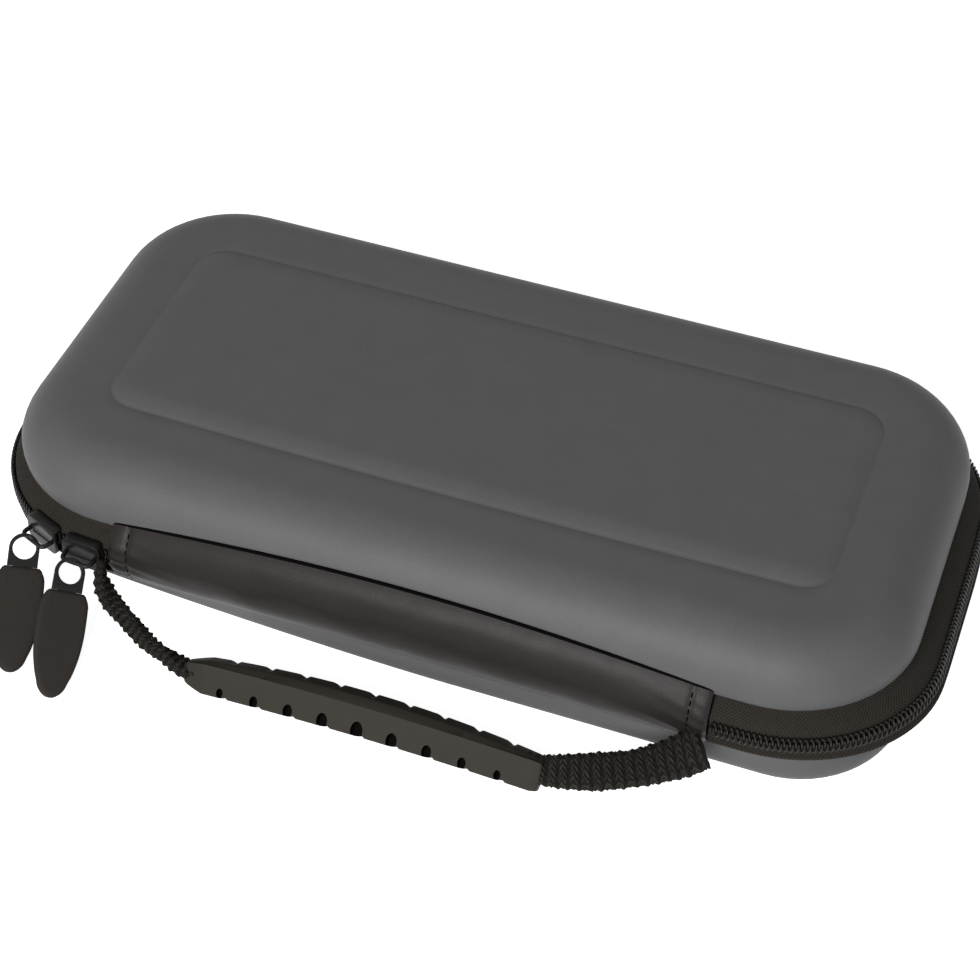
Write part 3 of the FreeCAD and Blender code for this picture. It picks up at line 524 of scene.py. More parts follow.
class Bench:
    """Where pieces are modelled, in millimetres, and from which they are settled into the frame."""

    def clear(self) -> None:
        """Select nothing."""
        if bpy.context.object and bpy.context.object.mode != "OBJECT":
            bpy.ops.object.mode_set(mode="OBJECT")
        bpy.ops.object.select_all(action="DESELECT")

    def hold(self, piece: Piece) -> None:
        """Select one piece and make it the active one."""
        self.clear()
        piece.select_set(True)
        bpy.context.view_layer.objects.active = piece

    def from_faces(self, name: str, points: Sequence[Vector], faces: Sequence[Sequence[int]]) -> Piece:
        """A piece from points and faces."""
        mesh = bpy.data.meshes.new(name)
        mesh.from_pydata([tuple(p) for p in points], [], faces)
        piece = bpy.data.objects.new(name, mesh)
        bpy.context.scene.collection.objects.link(piece)
        return piece

    def skin(self, name: str, rows: Rows, around: bool = True, loop: bool = False, caps: bool = True,
             run: Sequence[float] | None = None) -> Piece:
        """A surface through rows of points, with a UV map of distances along and across, in millimetres.

        Args:
            name: The piece's name.
            rows: Rows with the same number of points.
            around: Whether each row closes on itself.
            loop: Whether the last row joins the first.
            caps: Whether open ends are closed.
            run: Distances of the rows, if they aren't to be measured.

        Returns:
            The new piece.
        """
        wide, tall = len(rows[0]), len(rows)
        columns = wide if around else wide - 1
        bands = tall if loop else tall - 1
        faces = []
        for r in range(bands):
            a, b = r * wide, (r + 1) % tall * wide
            faces += [(a + c, a + (c + 1) % wide, b + (c + 1) % wide, b + c) for c in range(columns)]
        if caps and around and not loop:
            faces += [tuple(reversed(range(wide))), tuple(range((tall - 1) * wide, tall * wide))]
        piece = self.from_faces(name, [p for row in rows for p in row], faces)
        if run is None:
            run = [0.0]
            for first, second in zip(rows, rows[1:] + rows[:1]):
                run.append(run[-1] + (second[0] - first[0]).length)
        cross = [0.0]
        for k in range(wide):
            cross.append(cross[-1] + (rows[0][(k + 1) % wide] - rows[0][k]).length)
        uv = piece.data.uv_layers.new(name=UV_NAME)
        at = 0
        for r in range(bands):
            for c in range(columns):
                u, u2, v, v2 = run[r], run[r + 1], cross[c], cross[c + 1]
                for spot in ((u, v), (u, v2), (u2, v2), (u2, v)):
                    uv.data[at].uv = spot
                    at += 1
        return piece

    def block(self, name: str, low: Sequence[float], high: Sequence[float]) -> Piece:
        """A cube at its size and place, between two corners."""
        self.clear()
        a, b = Vector(low), Vector(high)
        bpy.ops.mesh.primitive_cube_add(size=1, location=(a + b) / 2, scale=b - a)
        piece = bpy.context.object
        piece.name = name
        bpy.ops.object.transform_apply(location=True, rotation=False, scale=True)
        return piece

    def rod(self, name: str, centre: Sequence[float], radius: float, depth: float, sides: int = 48,
            stretch: float = 1.0) -> Piece:
        """An upright cylinder at its size and place, stretched along y."""
        self.clear()
        bpy.ops.mesh.primitive_cylinder_add(vertices=sides, radius=radius, depth=depth, location=centre)
        piece = bpy.context.object
        piece.name = name
        piece.scale = (1, stretch, 1)
        bpy.ops.object.transform_apply(location=True, rotation=False, scale=True)
        return piece

    def bevel_edges(self, piece: Piece, width: float, segments: int,
                    chosen: Callable[[Vector, Vector], bool]) -> None:
        """Round the edges whose ends a test picks out."""
        self.hold(piece)
        bpy.ops.object.mode_set(mode="EDIT")
        bpy.ops.mesh.select_all(action="DESELECT")
        bpy.ops.mesh.select_mode(type="EDGE")
        bpy.ops.object.mode_set(mode="OBJECT")
        spots = [v.co.copy() for v in piece.data.vertices]
        for edge in piece.data.edges:
            edge.select = chosen(spots[edge.vertices[0]], spots[edge.vertices[1]])
        bpy.ops.object.mode_set(mode="EDIT")
        bpy.ops.mesh.bevel(offset=width, segments=segments, affect="EDGES")
        bpy.ops.object.mode_set(mode="OBJECT")

    def apply(self, piece: Piece, kind: str, **settings: object) -> None:
        """Give a piece a modifier and apply it."""
        self.hold(piece)
        modifier = piece.modifiers.new(kind.lower(), kind)
        for key, value in settings.items():
            setattr(modifier, key, value)
        bpy.ops.object.modifier_apply(modifier=modifier.name)

    def combine(self, piece: Piece, tools: Iterable[Piece], operation: str) -> None:
        """Cut tools out of a piece, or unite them with it."""
        for tool in tools:
            self.apply(piece, "BOOLEAN", operation=operation, object=tool, solver="EXACT")
            bpy.data.objects.remove(tool, do_unlink=True)

    def soften(self, piece: Piece, width: float, segments: int = 3, angle: float = 35.0) -> None:
        """Round every sharp edge of a piece a little."""
        self.apply(piece, "BEVEL", width=width, segments=segments, limit_method="ANGLE",
                   angle_limit=math.radians(angle), harden_normals=False)

    def join(self, pieces: Sequence[Piece]) -> Piece:
        """Join pieces into the first of them."""
        self.clear()
        for piece in pieces:
            piece.select_set(True)
        bpy.context.view_layer.objects.active = pieces[0]
        bpy.ops.object.join()
        return pieces[0]

    def settle(self, piece: Piece, finish: Finish, place: Matrix | None = None,
               angle: float = 38.0, closed: bool = True) -> Piece:
        """Bring a piece from the bench, in millimetres, into the frame and dress it.

        Args:
            piece: The piece.
            finish: Its finish, which goes into its first slot.
            place: The place of its own frame, in millimetres.
            angle: Edges flatter than this, in degrees, are shaded smooth.
            closed: Whether its faces are turned outwards as those of a closed form.

        Returns:
            The piece.
        """
        mesh = piece.data
        mesh.transform(Matrix.Scale(MM, 4) @ (place or Matrix.Identity(4)) @ piece.matrix_world)
        piece.matrix_world = Matrix.Identity(4)
        if closed:
            work = bmesh.new()
            work.from_mesh(mesh)
            bmesh.ops.remove_doubles(work, verts=work.verts, dist=2e-6)
            bmesh.ops.recalc_face_normals(work, faces=work.faces)
            work.to_mesh(mesh)
            work.free()
        if not mesh.materials:
            mesh.materials.append(None)
        mesh.materials[0] = finish.material()
        self.hold(piece)
        bpy.ops.object.shade_smooth_by_angle(angle=math.radians(angle))
        return piece

    def hand_over(self, piece: Piece, body: str, slot: str, *nodes: str) -> Piece:
        """Let a piece ride on a body and stand for CAD nodes."""
        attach(piece, body)
        return self.stand_for(piece, slot, *nodes)

    def stand_for(self, piece: Piece, slot: str, *nodes: str) -> Piece:
        """Let a piece stand for CAD nodes, which are hidden."""
        if nodes:
            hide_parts(*nodes)
        log.info("%s: %d faces", piece.name, len(piece.data.polygons))
        return piece


BENCH = Bench()


def stitches(name: str, line: Sequence[Vector], pitch: float = 2.9, length: float = 2.1,
             radius: float = 0.24) -> Piece:
    """A row of thread stitches along a line."""
    runs = [0.0]
    for a, b in zip(line, line[1:]):
        runs.append(runs[-1] + (b - a).length)

    def at(distance: float) -> Vector:
        """The point at a distance along the line."""
        for k in range(len(line) - 1):
            if distance <= runs[k + 1]:
                share = (distance - runs[k]) / max(runs[k + 1] - runs[k], 1e-9)
                return line[k].lerp(line[k + 1], share)
        return line[-1]

    sides = 5
    taper = ((0.0, 0.35), (0.15, 0.9), (0.5, 1.0), (0.85, 0.9), (1.0, 0.35))
    points, faces = [], []
    for k in range(int((runs[-1] - length) / pitch) + 1):
        start = k * pitch + (pitch - length) / 2
        spots = [at(start + length * along) for along, _ in taper]
        first = len(points)
        for row, spot, (_, thick) in zip(tube_rows(spots, radius, sides), spots, taper):
            base = len(points)
            points += [spot + (p - spot) * thick for p in row]
            if base > first:
                around = [(j, (j + 1) % sides) for j in range(sides)]
                faces += [(base - sides + a, base - sides + b, base + b, base + a) for a, b in around]
        last = len(points) - sides
        faces += [tuple(range(first + sides - 1, first - 1, -1)), tuple(range(last, last + sides))]
    return BENCH.from_faces(name, points, faces)


# The moulded shells


@dataclass(frozen=True)
class BaseTaper:
    """How the base's lower part is drawn in towards its near left corner. Runs go from none to all."""

    height_run: tuple[float, float] = (13.5, 4.5)
    depth_run: tuple[float, float] = (0.0, -40.0)
    side_run: tuple[float, float] = (10.0, -110.0)
    side_power: float = 1.6
    corner_run: tuple[float, float] = (-85.0, -120.0)
    to_right: float = 3.5
    to_back: float = 6.0

    def moved(self, point: Vector) -> Vector:
        """Where a point of the base comes to lie."""
        low = eased(ramp(point.z, *self.height_run))
        near = ramp(point.y, *self.depth_run)
        left = ramp(point.x, *self.side_run) ** self.side_power
        corner = ramp(point.x, *self.corner_run)
        return point + Vector((self.to_right * corner, self.to_back * left, 0)) * low * near

    def rows(self, rows: Rows) -> Rows:
        """Rows of points, drawn in."""
        return [[self.moved(point) for point in row] for row in rows]


BASE_TAPER = BaseTaper()


@dataclass
class Shells:
    """The base and the lid: moulded foam with a fabric skin, each one piece."""

    inset: float = 4.7
    wall: float = 3.2
    lip_wall: float = 1.5
    lip_height: float = 4.0
    base_rim: float = 13.5
    base_round: float = 6.5
    lid_rim: float = 29.2
    lid_top: float = 46.2
    lid_round: float = 15.4
    base_fuller: float = 5.5
    lid_fuller: float = 2.0
    fuller_run: float = 5.0
    panel: Plan = Plan(203.5, 70.7, 9.0)
    panel_rise: float = 1.5
    panel_slope: float = 6.5
    panel_bow: float = 1.0
    panel_face: tuple[float, ...] = (34.0, 28.0, 20.0, 13.0, 9.0)
    panel_groove: tuple[tuple[float, float], ...] = ((0.0, 0.22), (0.35, 0.16), (0.9, 0.0))
    slope_power: float = 1.9
    slope_steps: int = 9
    round_steps: int = 14
    inner_floor: tuple[float, ...] = (12.0, 26.0, 38.0)

    def plan(self, fuller: float) -> Plan:
        """The case's plan, with its corners fuller by a radius."""
        return Plan(ZIP.length, ZIP.depth, ZIP.corner - fuller)

    def side(self, rim: float, level: float, radius: float, inset: float,
             up: int) -> list[tuple[float, float]]:
        """A wall and its rounding, from the rim to a flat face, as (inset, height) points."""
        start = level - up * radius
        line = [(inset, rim + (start - rim) * t) for t in (0.0, 0.25, 0.5, 0.75)]
        for k in range(self.round_steps + 1):
            angle = TURN / 4 * k / self.round_steps
            line.append((inset + radius * (1 - math.cos(angle)), start + up * radius * math.sin(angle)))
        return line

    def rim(self, rim: float, up: int) -> list[tuple[float, float]]:
        """The rounded edge and the seat for the tape, from outside to inside."""
        a, b = self.inset, self.inset + self.lip_wall
        c, seat = self.inset + self.wall, rim + up * self.lip_height
        return [(a, rim + up * 0.5), (a + 0.15, rim + up * 0.15), (a + 0.5, rim), (b - 0.4, rim),
                (b, rim + up * 0.4), (b, seat), (c - 0.3, seat), (c, seat + up * 0.3)]

    def build(self, name: str, rim: float, level: float, radius: float, up: int, crown: Rows) -> Piece:
        """A shell through its rings, from the middle of its outside to the middle of its inside.

        Args:
            name: The piece's name.
            rim: The height of its rim.
            level: The height of its flat outside.
            radius: The rounding's radius.
            up: 1 for the lid and -1 for the base.
            crown: Rings from the middle of the outside to the rounding.

        Returns:
            The shell, with its inside in a slot of its own.
        """
        plan = self.plan(0.0)
        outside = self.side(rim + up * 0.9, level, radius, self.inset, up)[::-1]
        inner = radius - self.wall
        inside = self.side(rim + up * (self.lip_height + 0.8), level - up * self.wall, inner,
                           self.inset + self.wall, up)
        edge = self.rim(rim, up)
        full = self.lid_fuller if up > 0 else self.base_fuller
        rows = crown + [self.plan(full * min(abs(z - rim) / self.fuller_run, 1.0)).inset(i).ring(z)
                        for i, z in outside]
        rows += [plan.inset(i).ring(z) for i, z in edge + inside]
        if up < 0:
            rows = BASE_TAPER.rows(rows)
        last, flat = inside[-1]
        rows += [plan.inset(last + more).ring(flat) for more in self.inner_floor]
        piece = BENCH.skin(name, rows)
        seat_row = len(crown) + len(outside) + len(edge) - 3
        wide = len(rows[0])
        piece.data.materials.append(None)
        piece.data.materials.append(LINING.material())
        for face in piece.data.polygons:
            inner_side = face.index // wide >= seat_row and face.index < (len(rows) - 1) * wide
            face.material_index = int(inner_side or face.index == len(piece.data.polygons) - 1)
        return piece

    def lid_crown(self) -> Rows:
        """The lid's top: the raised panel's face, its soft slope, the line at its foot, and the flat."""
        flat = self.lid_top + self.panel_rise
        rows = [self.panel.inset(inset).ring(flat, self.panel_bow) for inset in self.panel_face]
        for k in range(self.slope_steps):
            inset = self.panel_slope * (1 - k / self.slope_steps)
            share = inset / self.panel_slope
            rise = self.panel_rise * (1 - (1 - share) ** self.slope_power)
            rows.append(self.panel.inset(inset).ring(self.lid_top + rise, self.panel_bow))
        for outset, depth in self.panel_groove:
            rows.append(self.panel.inset(-outset).ring(self.lid_top - depth, self.panel_bow))
        foot = self.panel.inset(-self.panel_groove[-1][0])
        edge = self.plan(self.lid_fuller).inset(self.inset + self.lid_round)
        for share in (0.25, 0.55, 0.8):
            rows.append(foot.toward(edge, share).ring(self.lid_top, self.panel_bow * (1 - share)))
        return rows

    def make(self) -> None:
        """Both shells."""
        lid = self.build("lid_skin", self.lid_rim, self.lid_top, self.lid_round, 1, self.lid_crown())
        BENCH.hand_over(BENCH.settle(lid, SKIN, angle=50), "lid", "shell_skin", "lid_shell")
        plan = self.plan(self.base_fuller).inset(self.inset + self.base_round)
        under = [plan.inset(more).ring(0.0) for more in (36.0, 20.0, 8.0)]
        base = self.build("base_skin", self.base_rim, 0.0, self.base_round, -1, under)
        BENCH.hand_over(BENCH.settle(base, SKIN, angle=50), "base", "shell_skin", "base_shell")


# The zip


@dataclass
class Zip:
    """The tapes, the two rows of coil and the trims inside the rims."""

    tape_thickness: float = 0.7
    coil_pitch: float = 1.477
    wire: float = 0.32
    coil_inset: float = 0.74
    coil_half_depth: float = 0.40
    coil_middle: float = 1.02
    coil_half_height: float = 1.34
    coil_lean: float = 0.16
    coil_start: float = 0.25
    trim_inner: float = 7.2
    trim_outer: float = 8.5
    trim_foot: float = 3.6
    trim_crown: float = 0.7
    trim_round: float = 0.9
    samples: int = 10
    rims: tuple[float, float] = (13.5, 29.2)

    def sweep(self, name: str, section: Sequence[Vector], side: int, step: float) -> Piece:
        """Carry a closed section of (inset, reach) points along the zip."""
        stations = ZIP.stations(step)
        rows = [[s.at(p.x, ZIP.height + side * p.y) for p in section] for s in stations]
        return BENCH.skin(name, rows, run=[s.distance for s in stations])

    def tape(self, side: int) -> list[Vector]:
        """A tape's section: sewn inside the rim, flaring out and standing up behind the coil."""
        reach = abs(self.rims[side > 0] - ZIP.height)
        seat = [(6.35, reach + 3.6), (6.35, reach + 0.4)]
        if side > 0:
            free = [(6.2, reach - 0.5), (5.55, reach - 1.3), (4.5, reach - 2.2), (3.2, 4.8), (2.25, 3.9),
                    (1.7, 3.1), (1.5, 2.2), (1.5, 0.2)]
        else:
            free = [(6.2, reach - 0.3), (5.2, reach - 0.75), (3.4, reach - 1.0), (1.8, reach - 1.3),
                    (0.95, 5.7), (0.8, 5.15), (1.1, 4.75), (1.65, 4.35), (1.75, 3.6), (1.55, 2.7), (1.5, 0.2)]
        return thick_section(seat + free, self.tape_thickness)

    def coil(self, name: str, side: int, shift: float) -> Piece:
        """One row of the coil: a flattened helix of nylon, its heads between those of the other row."""
        turns = round(ZIP.total() / self.coil_pitch) - 1
        pitch = ZIP.total() / (turns + 1)
        line = []
        for k in range(turns * self.samples + 1):
            t = k / self.samples
            inset = self.coil_inset - self.coil_half_depth * math.cos(TURN * t)
            reach = self.coil_middle - self.coil_half_height * math.sin(TURN * t)
            lean = self.coil_lean * math.cos(TURN * t)
            place = ZIP.at((t + self.coil_start + shift + lean) * pitch)
            line.append(place.at(inset, ZIP.height + side * reach))
        return BENCH.skin(name, tube_rows(line, self.wire, 6))

    def trim(self, side: int) -> list[Vector]:
        """A trim's section, with a rounded free edge."""
        reach = abs(self.rims[side > 0] - ZIP.height)
        inner, outer = self.trim_inner, self.trim_outer
        foot, bend = reach + self.trim_foot, reach - self.trim_crown + self.trim_round
        curve = [Vector((inner, foot)), Vector((inner, bend))]
        for k in range(1, 6):
            angle = math.pi * k / 6
            across = (inner + outer) / 2 - (outer - inner) / 2 * math.cos(angle)
            curve.append(Vector((across, bend - self.trim_round * math.sin(angle))))
        return curve + [Vector((outer, bend)), Vector((outer, foot))]

    def make(self) -> None:
        """The zip's pieces on both bodies."""
        for body, side, shift in (("base", -1, 0.5), ("lid", 1, 0.0)):
            tape = BENCH.settle(self.sweep(body + "_tape", self.tape(side), side, 2.0), TAPE)
            BENCH.hand_over(tape, body, "zip_tape", body + "_zip_tape")
            coil = BENCH.settle(self.coil(body + "_coil", side, shift), COIL, angle=80)
            BENCH.hand_over(coil, body, "zip_coil", body + "_zip_coil")
            trim = BENCH.settle(self.sweep(body + "_trim", self.trim(side), side, 2.5), TRIM)
            BENCH.hand_over(trim, body, "edge_trim", body + "_binding")


# The spine


@dataclass
class Spine:
    """The leather strip that bulges over the fold, sewn down at its ends, and the lining behind it.

    Its two places, bend_from and bend_to, are in metres, in the frame.
    """

    left: float = -85.6
    right: float = 81.2
    low: float = 11.0
    high: float = 30.6
    arch: float = 4.9
    edge: float = 0.12
    lid_start: float = 30.8
    lid_round: float = 15.4
    wall: float = -63.45
    bulge: float = 5.0
    bulge_power: float = 2.2
    thickness: float = 1.2
    seam: float = 5.2
    stitch: tuple[float, float, float] = (2.3, 1.6, 0.3)
    seam_depth: float = 0.6
    seam_width: float = 0.4
    fold: float = 2.4
    fold_rise: float = 0.15
    fold_width: float = 1.9
    tuck_depth: float = 0.45
    tuck_width: float = 0.5
    puff: float = 0.35
    puff_length: float = 14.0
    pucker: float = 0.18
    pucker_reach: float = 7.0
    steps_along: int = 236
    steps_up: int = 30
    lining_back: float = -60.8
    lining_front: float = -60.0
    lining_low: float = 14.35
    lining_high: float = 28.35
    bend_from: tuple[float, float, float] = (0.0, -0.066, 0.013)
    bend_to: tuple[float, float, float] = (0.0, -0.066, 0.030)

    def recede(self, z: float) -> float:
        """How far the lid's rounding lies behind its wall at a height."""
        rise = max(z - self.lid_start, 0.0) / self.lid_round
        return self.lid_round * (1 - math.sqrt(1 - rise * rise))

    def bulged(self, share: float) -> float:
        """The share of the bulge at a share of the cover's height: all in its middle, none at its edges."""
        return 1 - abs(2 * share - 1) ** self.bulge_power

    def outside(self, x: float, share: float) -> Vector:
        """A point of the cover's outside, from its low edge at 0 to its high edge at 1."""
        middle = (self.left + self.right) / 2
        half = (self.right - self.left) / 2
        top = self.high + self.arch * (1 - ((x - middle) / half) ** 2)
        z = self.low + (top - self.low) * share
        out = self.edge + (self.bulge - self.edge) * self.bulged(share) - self.recede(z)
        end = min(x - self.left, self.right - x)
        past_seam = end - self.seam
        groove = self.seam_depth * bell(past_seam, self.seam_width)
        folded = self.fold_rise * bell(end - self.fold, self.fold_width)
        tuck = self.tuck_depth * math.exp(-end / self.tuck_width)
        swell = math.sin(math.pi * share)
        puff = noise.noise(Vector((x / self.puff_length, share * 2.2, 3.0))) * self.puff * swell
        near_seam = math.exp(-max(past_seam, 0) / self.pucker_reach)
        pucker = near_seam * self.pucker * math.sin(share * 34 + x * 0.4) * swell
        return Vector((x, self.wall - out + groove - folded + tuck - puff + pucker, z))

    def cover(self) -> Piece:
        """The cover, with its edges turned in."""
        rows = []
        for k in range(self.steps_along + 1):
            x = self.left + (self.right - self.left) * k / self.steps_along
            front = [self.outside(x, j / self.steps_up) for j in range(self.steps_up + 1)]
            back = []
            for j in range(self.steps_up - 1, 0, -1):
                spot = front[j]
                depth = self.wall - 0.02 - (self.bulge - self.thickness) * self.bulged(j / self.steps_up)
                depth += self.recede(spot.z)
                back.append(Vector((x, max(depth, spot.y + 0.1), spot.z)))
            rows.append(front + back)
        return BENCH.skin("spine_leather_cover", rows)

    def seams(self) -> Piece:
        """The upright rows of stitches near the cover's ends, and a bead of painted shade along its upper
        edge.
        """
        parts = []
        for name, x in (("left_seam", self.left + self.seam), ("right_seam", self.right - self.seam)):
            line = [self.outside(x, 0.03 + 0.94 * j / 40) + Vector((0, -0.16, 0)) for j in range(41)]
            parts.append(stitches(name, line, *self.stitch))
        # A near-black tube where the cover's top edge turns in: painted shade for the crease there.
        bead = []
        for k in range(121):
            x = self.left + 0.3 + (self.right - self.left - 0.6) * k / 120
            sunk = abs(k / 60 - 1) ** 3
            bead.append(self.outside(x, 1.0) + Vector((0, 0.5 * sunk - 0.02, 0.18 - 0.35 * sunk)))
        parts.append(BENCH.skin("painted_crease_shade", tube_rows(bead, 0.5, 8)))
        return BENCH.join(parts)

    def lining(self) -> Piece:
        """The fabric strip inside the fold, with soft edges."""
        rows = []
        for k in range(67):
            x = self.left + (self.right - self.left) * k / 66
            section = []
            for j in range(11):
                z = self.lining_low + (self.lining_high - self.lining_low) * j / 10
                wave = 0.06 * math.sin(x * 0.7 + j)
                section.append(Vector((x, self.lining_front + wave, z)))
            section += [Vector((x, self.lining_back, p.z)) for p in section[::-1]]
            rows.append(section)
        return BENCH.skin("spine_fabric_lining", rows)

    def make(self) -> None:
        """The spine's pieces."""
        for piece, finish, slot, node in (
            (self.cover(), LEATHER, "spine_leather", "spine_cover"),
            (self.seams(), THREAD_AND_CREASE_SHADE, "spine_leather", None),
            (self.lining(), CARD, "lining_fabric", "spine_lining"),
        ):
            BENCH.settle(piece, finish, angle=60)
            piece.name = "spine_stitches_and_crease_shade" if node is None else piece.name
            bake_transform(piece)
            BENCH.stand_for(piece, slot, *([node] if node else []))


# The sliders and their pulls


@dataclass
class Slider:
    """A slider on the zip's near left corner, its bridge, and the pull that hangs from it."""

    letter: str
    turn: float
    heading: float
    droop: float
    twist: float
    length: float = 11.5
    plate: float = 0.9
    gap: float = 0.4
    channel: float = 3.3
    flange: float = 1.2
    lip: float = 1.45
    nose: float = 2.0
    wire: float = 0.65
    span: float = 8.6
    stand: float = 3.2
    bend: float = 1.4
    groove_share: float = 0.62
    groove_half: float = 1.15
    groove_depth: float = 0.3
    ring_inner: float = 3.1
    ring_width: float = 1.0
    ring_thickness: float = 1.0
    ring_drop: float = 3.0
    neck: float = 2.0
    tab_length: float = 28.7
    tab_width: float = 13.2
    tab_shoulder: float = 10.0
    tab_thickness: float = 2.6

    def place(self) -> Matrix:
        """The slider's own frame: x along the zip, y inwards and z up."""
        angle = math.radians(self.turn)
        x = ZIP.corner - ZIP.length / 2 - ZIP.corner * math.sin(angle)
        y = ZIP.corner - ZIP.depth / 2 - ZIP.corner * math.cos(angle)
        return Matrix.Translation((x, y, ZIP.height)) @ Matrix.Rotation(-angle, 4, "Z")

    def pull_place(self) -> Matrix:
        """The pull's own frame: x across it, y up it and z out of its face."""
        place = self.place()
        bar = place @ Vector((0, -(self.gap + self.plate + self.stand), 0))
        heading, droop, twist = (math.radians(a) for a in (self.heading, self.droop, self.twist))
        level_way = Vector((math.cos(heading), math.sin(heading), 0))
        down = level_way * math.cos(droop) - Vector((0, 0, math.sin(droop)))
        side = Vector((-math.sin(heading), math.cos(heading), 0))
        normal = side.cross(-down)
        right = side * math.cos(twist) - normal * math.sin(twist)
        face = normal * math.cos(twist) + side * math.sin(twist)
        across = face.cross(place.to_3x3() @ Vector((1, 0, 0))).normalized()
        if across.dot(down) > 0:
            across = -across
        centre = bar - across * self.ring_drop
        columns = Matrix((right, -down, face)).transposed().to_4x4()
        return Matrix.Translation(centre) @ columns

    def body(self) -> Piece:
        """The channel round both rows of teeth, with a groove along its face."""
        half, out = self.length / 2, -(self.gap + self.plate)
        wide = self.channel + self.flange
        piece = BENCH.block("slider_%s_case" % self.letter, (-half, out, -wide), (half, self.lip, wide))
        BENCH.bevel_edges(piece, self.nose, 5, lambda a, b: abs(a.y - b.y) > 0.1)
        channel = BENCH.block("channel", (-2 * half, -self.gap, -self.channel),
                              (2 * half, 2 * self.lip, self.channel))
        inner = half * self.groove_share
        groove = BENCH.block("groove", (-inner, out - 1, -self.groove_half),
                             (inner, out + self.groove_depth, self.groove_half))
        BENCH.combine(piece, [channel, groove], "DIFFERENCE")
        BENCH.soften(piece, 0.22)
        return piece

    def bridge(self) -> Piece:
        """The arch of wire along the slider, on two feet."""
        foot, half = -(self.gap + self.plate), self.span / 2
        bar = foot - self.stand
        line = [Vector((-half, foot + 0.3, 0)), Vector((-half, foot - 0.4, 0))]
        for middle, turn in ((-half + self.bend, 0.5), (half - self.bend, 0.75)):
            for k in range(7):
                angle = TURN * (turn + 0.25 * k / 6)
                x, y = middle + self.bend * math.cos(angle), bar + self.bend + self.bend * math.sin(angle)
                line.append(Vector((x, y, 0)))
        line += [Vector((half, foot - 0.4, 0)), Vector((half, foot + 0.3, 0))]
        return BENCH.skin("slider_%s_arch" % self.letter, tube_rows(line, self.wire, 14))

    def ring(self) -> Piece:
        """The metal eye with its neck and the tongue inside the tab."""
        thick, outer = self.ring_thickness, self.ring_inner + self.ring_width
        low = -(self.ring_inner + self.neck)
        piece = BENCH.rod("pull_%s_eye" % self.letter, (0, 0, 0), outer, thick, 56)
        neck = BENCH.block("neck", (-outer, low, -thick / 2), (outer, -0.4, thick / 2))
        tongue = BENCH.block("tongue", (-2.5, low - 9.0, -thick / 2 + 0.01),
                             (2.5, low + 0.5, thick / 2 - 0.01))
        BENCH.combine(piece, [neck, tongue], "UNION")
        BENCH.combine(piece, [BENCH.rod("hole", (0, 0, 0), self.ring_inner, 4 * thick, 56)], "DIFFERENCE")
        BENCH.soften(piece, 0.3)
        return piece

    def outline(self) -> list[Vector]:
        """The tab's leaf outline, from its top's right end round its tip."""
        top = -(self.ring_inner + self.neck + 0.15)
        wide, shoulder = self.tab_width / 2, self.tab_shoulder / 2
        tip = top - self.tab_length
        half = [(shoulder * 0.5, top), (shoulder - 0.3, top), (shoulder + 0.25, top - 0.45),
                (wide - 0.45, top - 2.2), (wide - 0.18, top - 3.2), (wide, top - 7.5),
                (wide, top - 12.0), (wide - 0.45, top - 17.0),
                (wide - 1.4, top - 21.5), (wide - 2.3, tip + 4.6), (3.5, tip + 2.4), (2.2, tip + 0.85),
                (0.9, tip + 0.1), (0.0, tip)]
        right = smooth_line([(x, y, 0) for x, y in [(0.0, top)] + half], 0.8)
        return right + [Vector((-p.x, p.y, 0)) for p in right[-2:0:-1]]

    def tab(self) -> Piece:
        """The rubber tab, with rounded edges and a faintly crowned face."""
        edge = self.outline()
        count = len(edge)
        middle = Vector((0, -(self.ring_inner + self.neck) - self.tab_length * 0.48, 0))
        inward = []
        for k, point in enumerate(edge):
            way = edge[(k + 1) % count] - edge[k - 1]
            normal = Vector((way.y, -way.x, 0)).normalized()
            inward.append(normal if normal.dot(middle - point) > 0 else -normal)
        half = self.tab_thickness / 2
        profile = [(0.95, half - 0.04), (0.6, half - 0.12), (0.28, half - 0.32), (0.07, half - 0.62),
                   (0.0, half - 0.95)]
        rows = []
        up = Vector((0, 0, half))
        for shrink in (0.25, 0.5, 0.75):
            rows.append([middle.lerp(p + n * 1.2, shrink) + up for p, n in zip(edge, inward)])
        rows.append([p + n * 1.6 + up for p, n in zip(edge, inward)])
        rows += [[p + n * i + Vector((0, 0, z)) for p, n in zip(edge, inward)] for i, z in profile]
        mirrored = [[Vector((p.x, p.y, -p.z)) for p in row] for row in rows[::-1]]
        return BENCH.skin("pull_%s_leaf" % self.letter, rows + mirrored)

    def make(self) -> None:
        """The slider and its pull."""
        slider, pull = "slider_" + self.letter, "pull_" + self.letter
        place, hang = self.place(), self.pull_place()
        for piece, finish, at, body, slot, node in (
            (self.body(), METAL, place, slider, "slider_metal", slider + "_body"),
            (self.bridge(), METAL, place, slider, "slider_metal", slider + "_bridge"),
            (self.ring(), METAL, hang, pull, "pull_metal", pull + "_ring"),
            (self.tab(), TAB_RUBBER, hang, pull, "pull_rubber", pull + "_tab"),
        ):
            BENCH.hand_over(BENCH.settle(piece, finish, at), body, slot, node)


# The handle


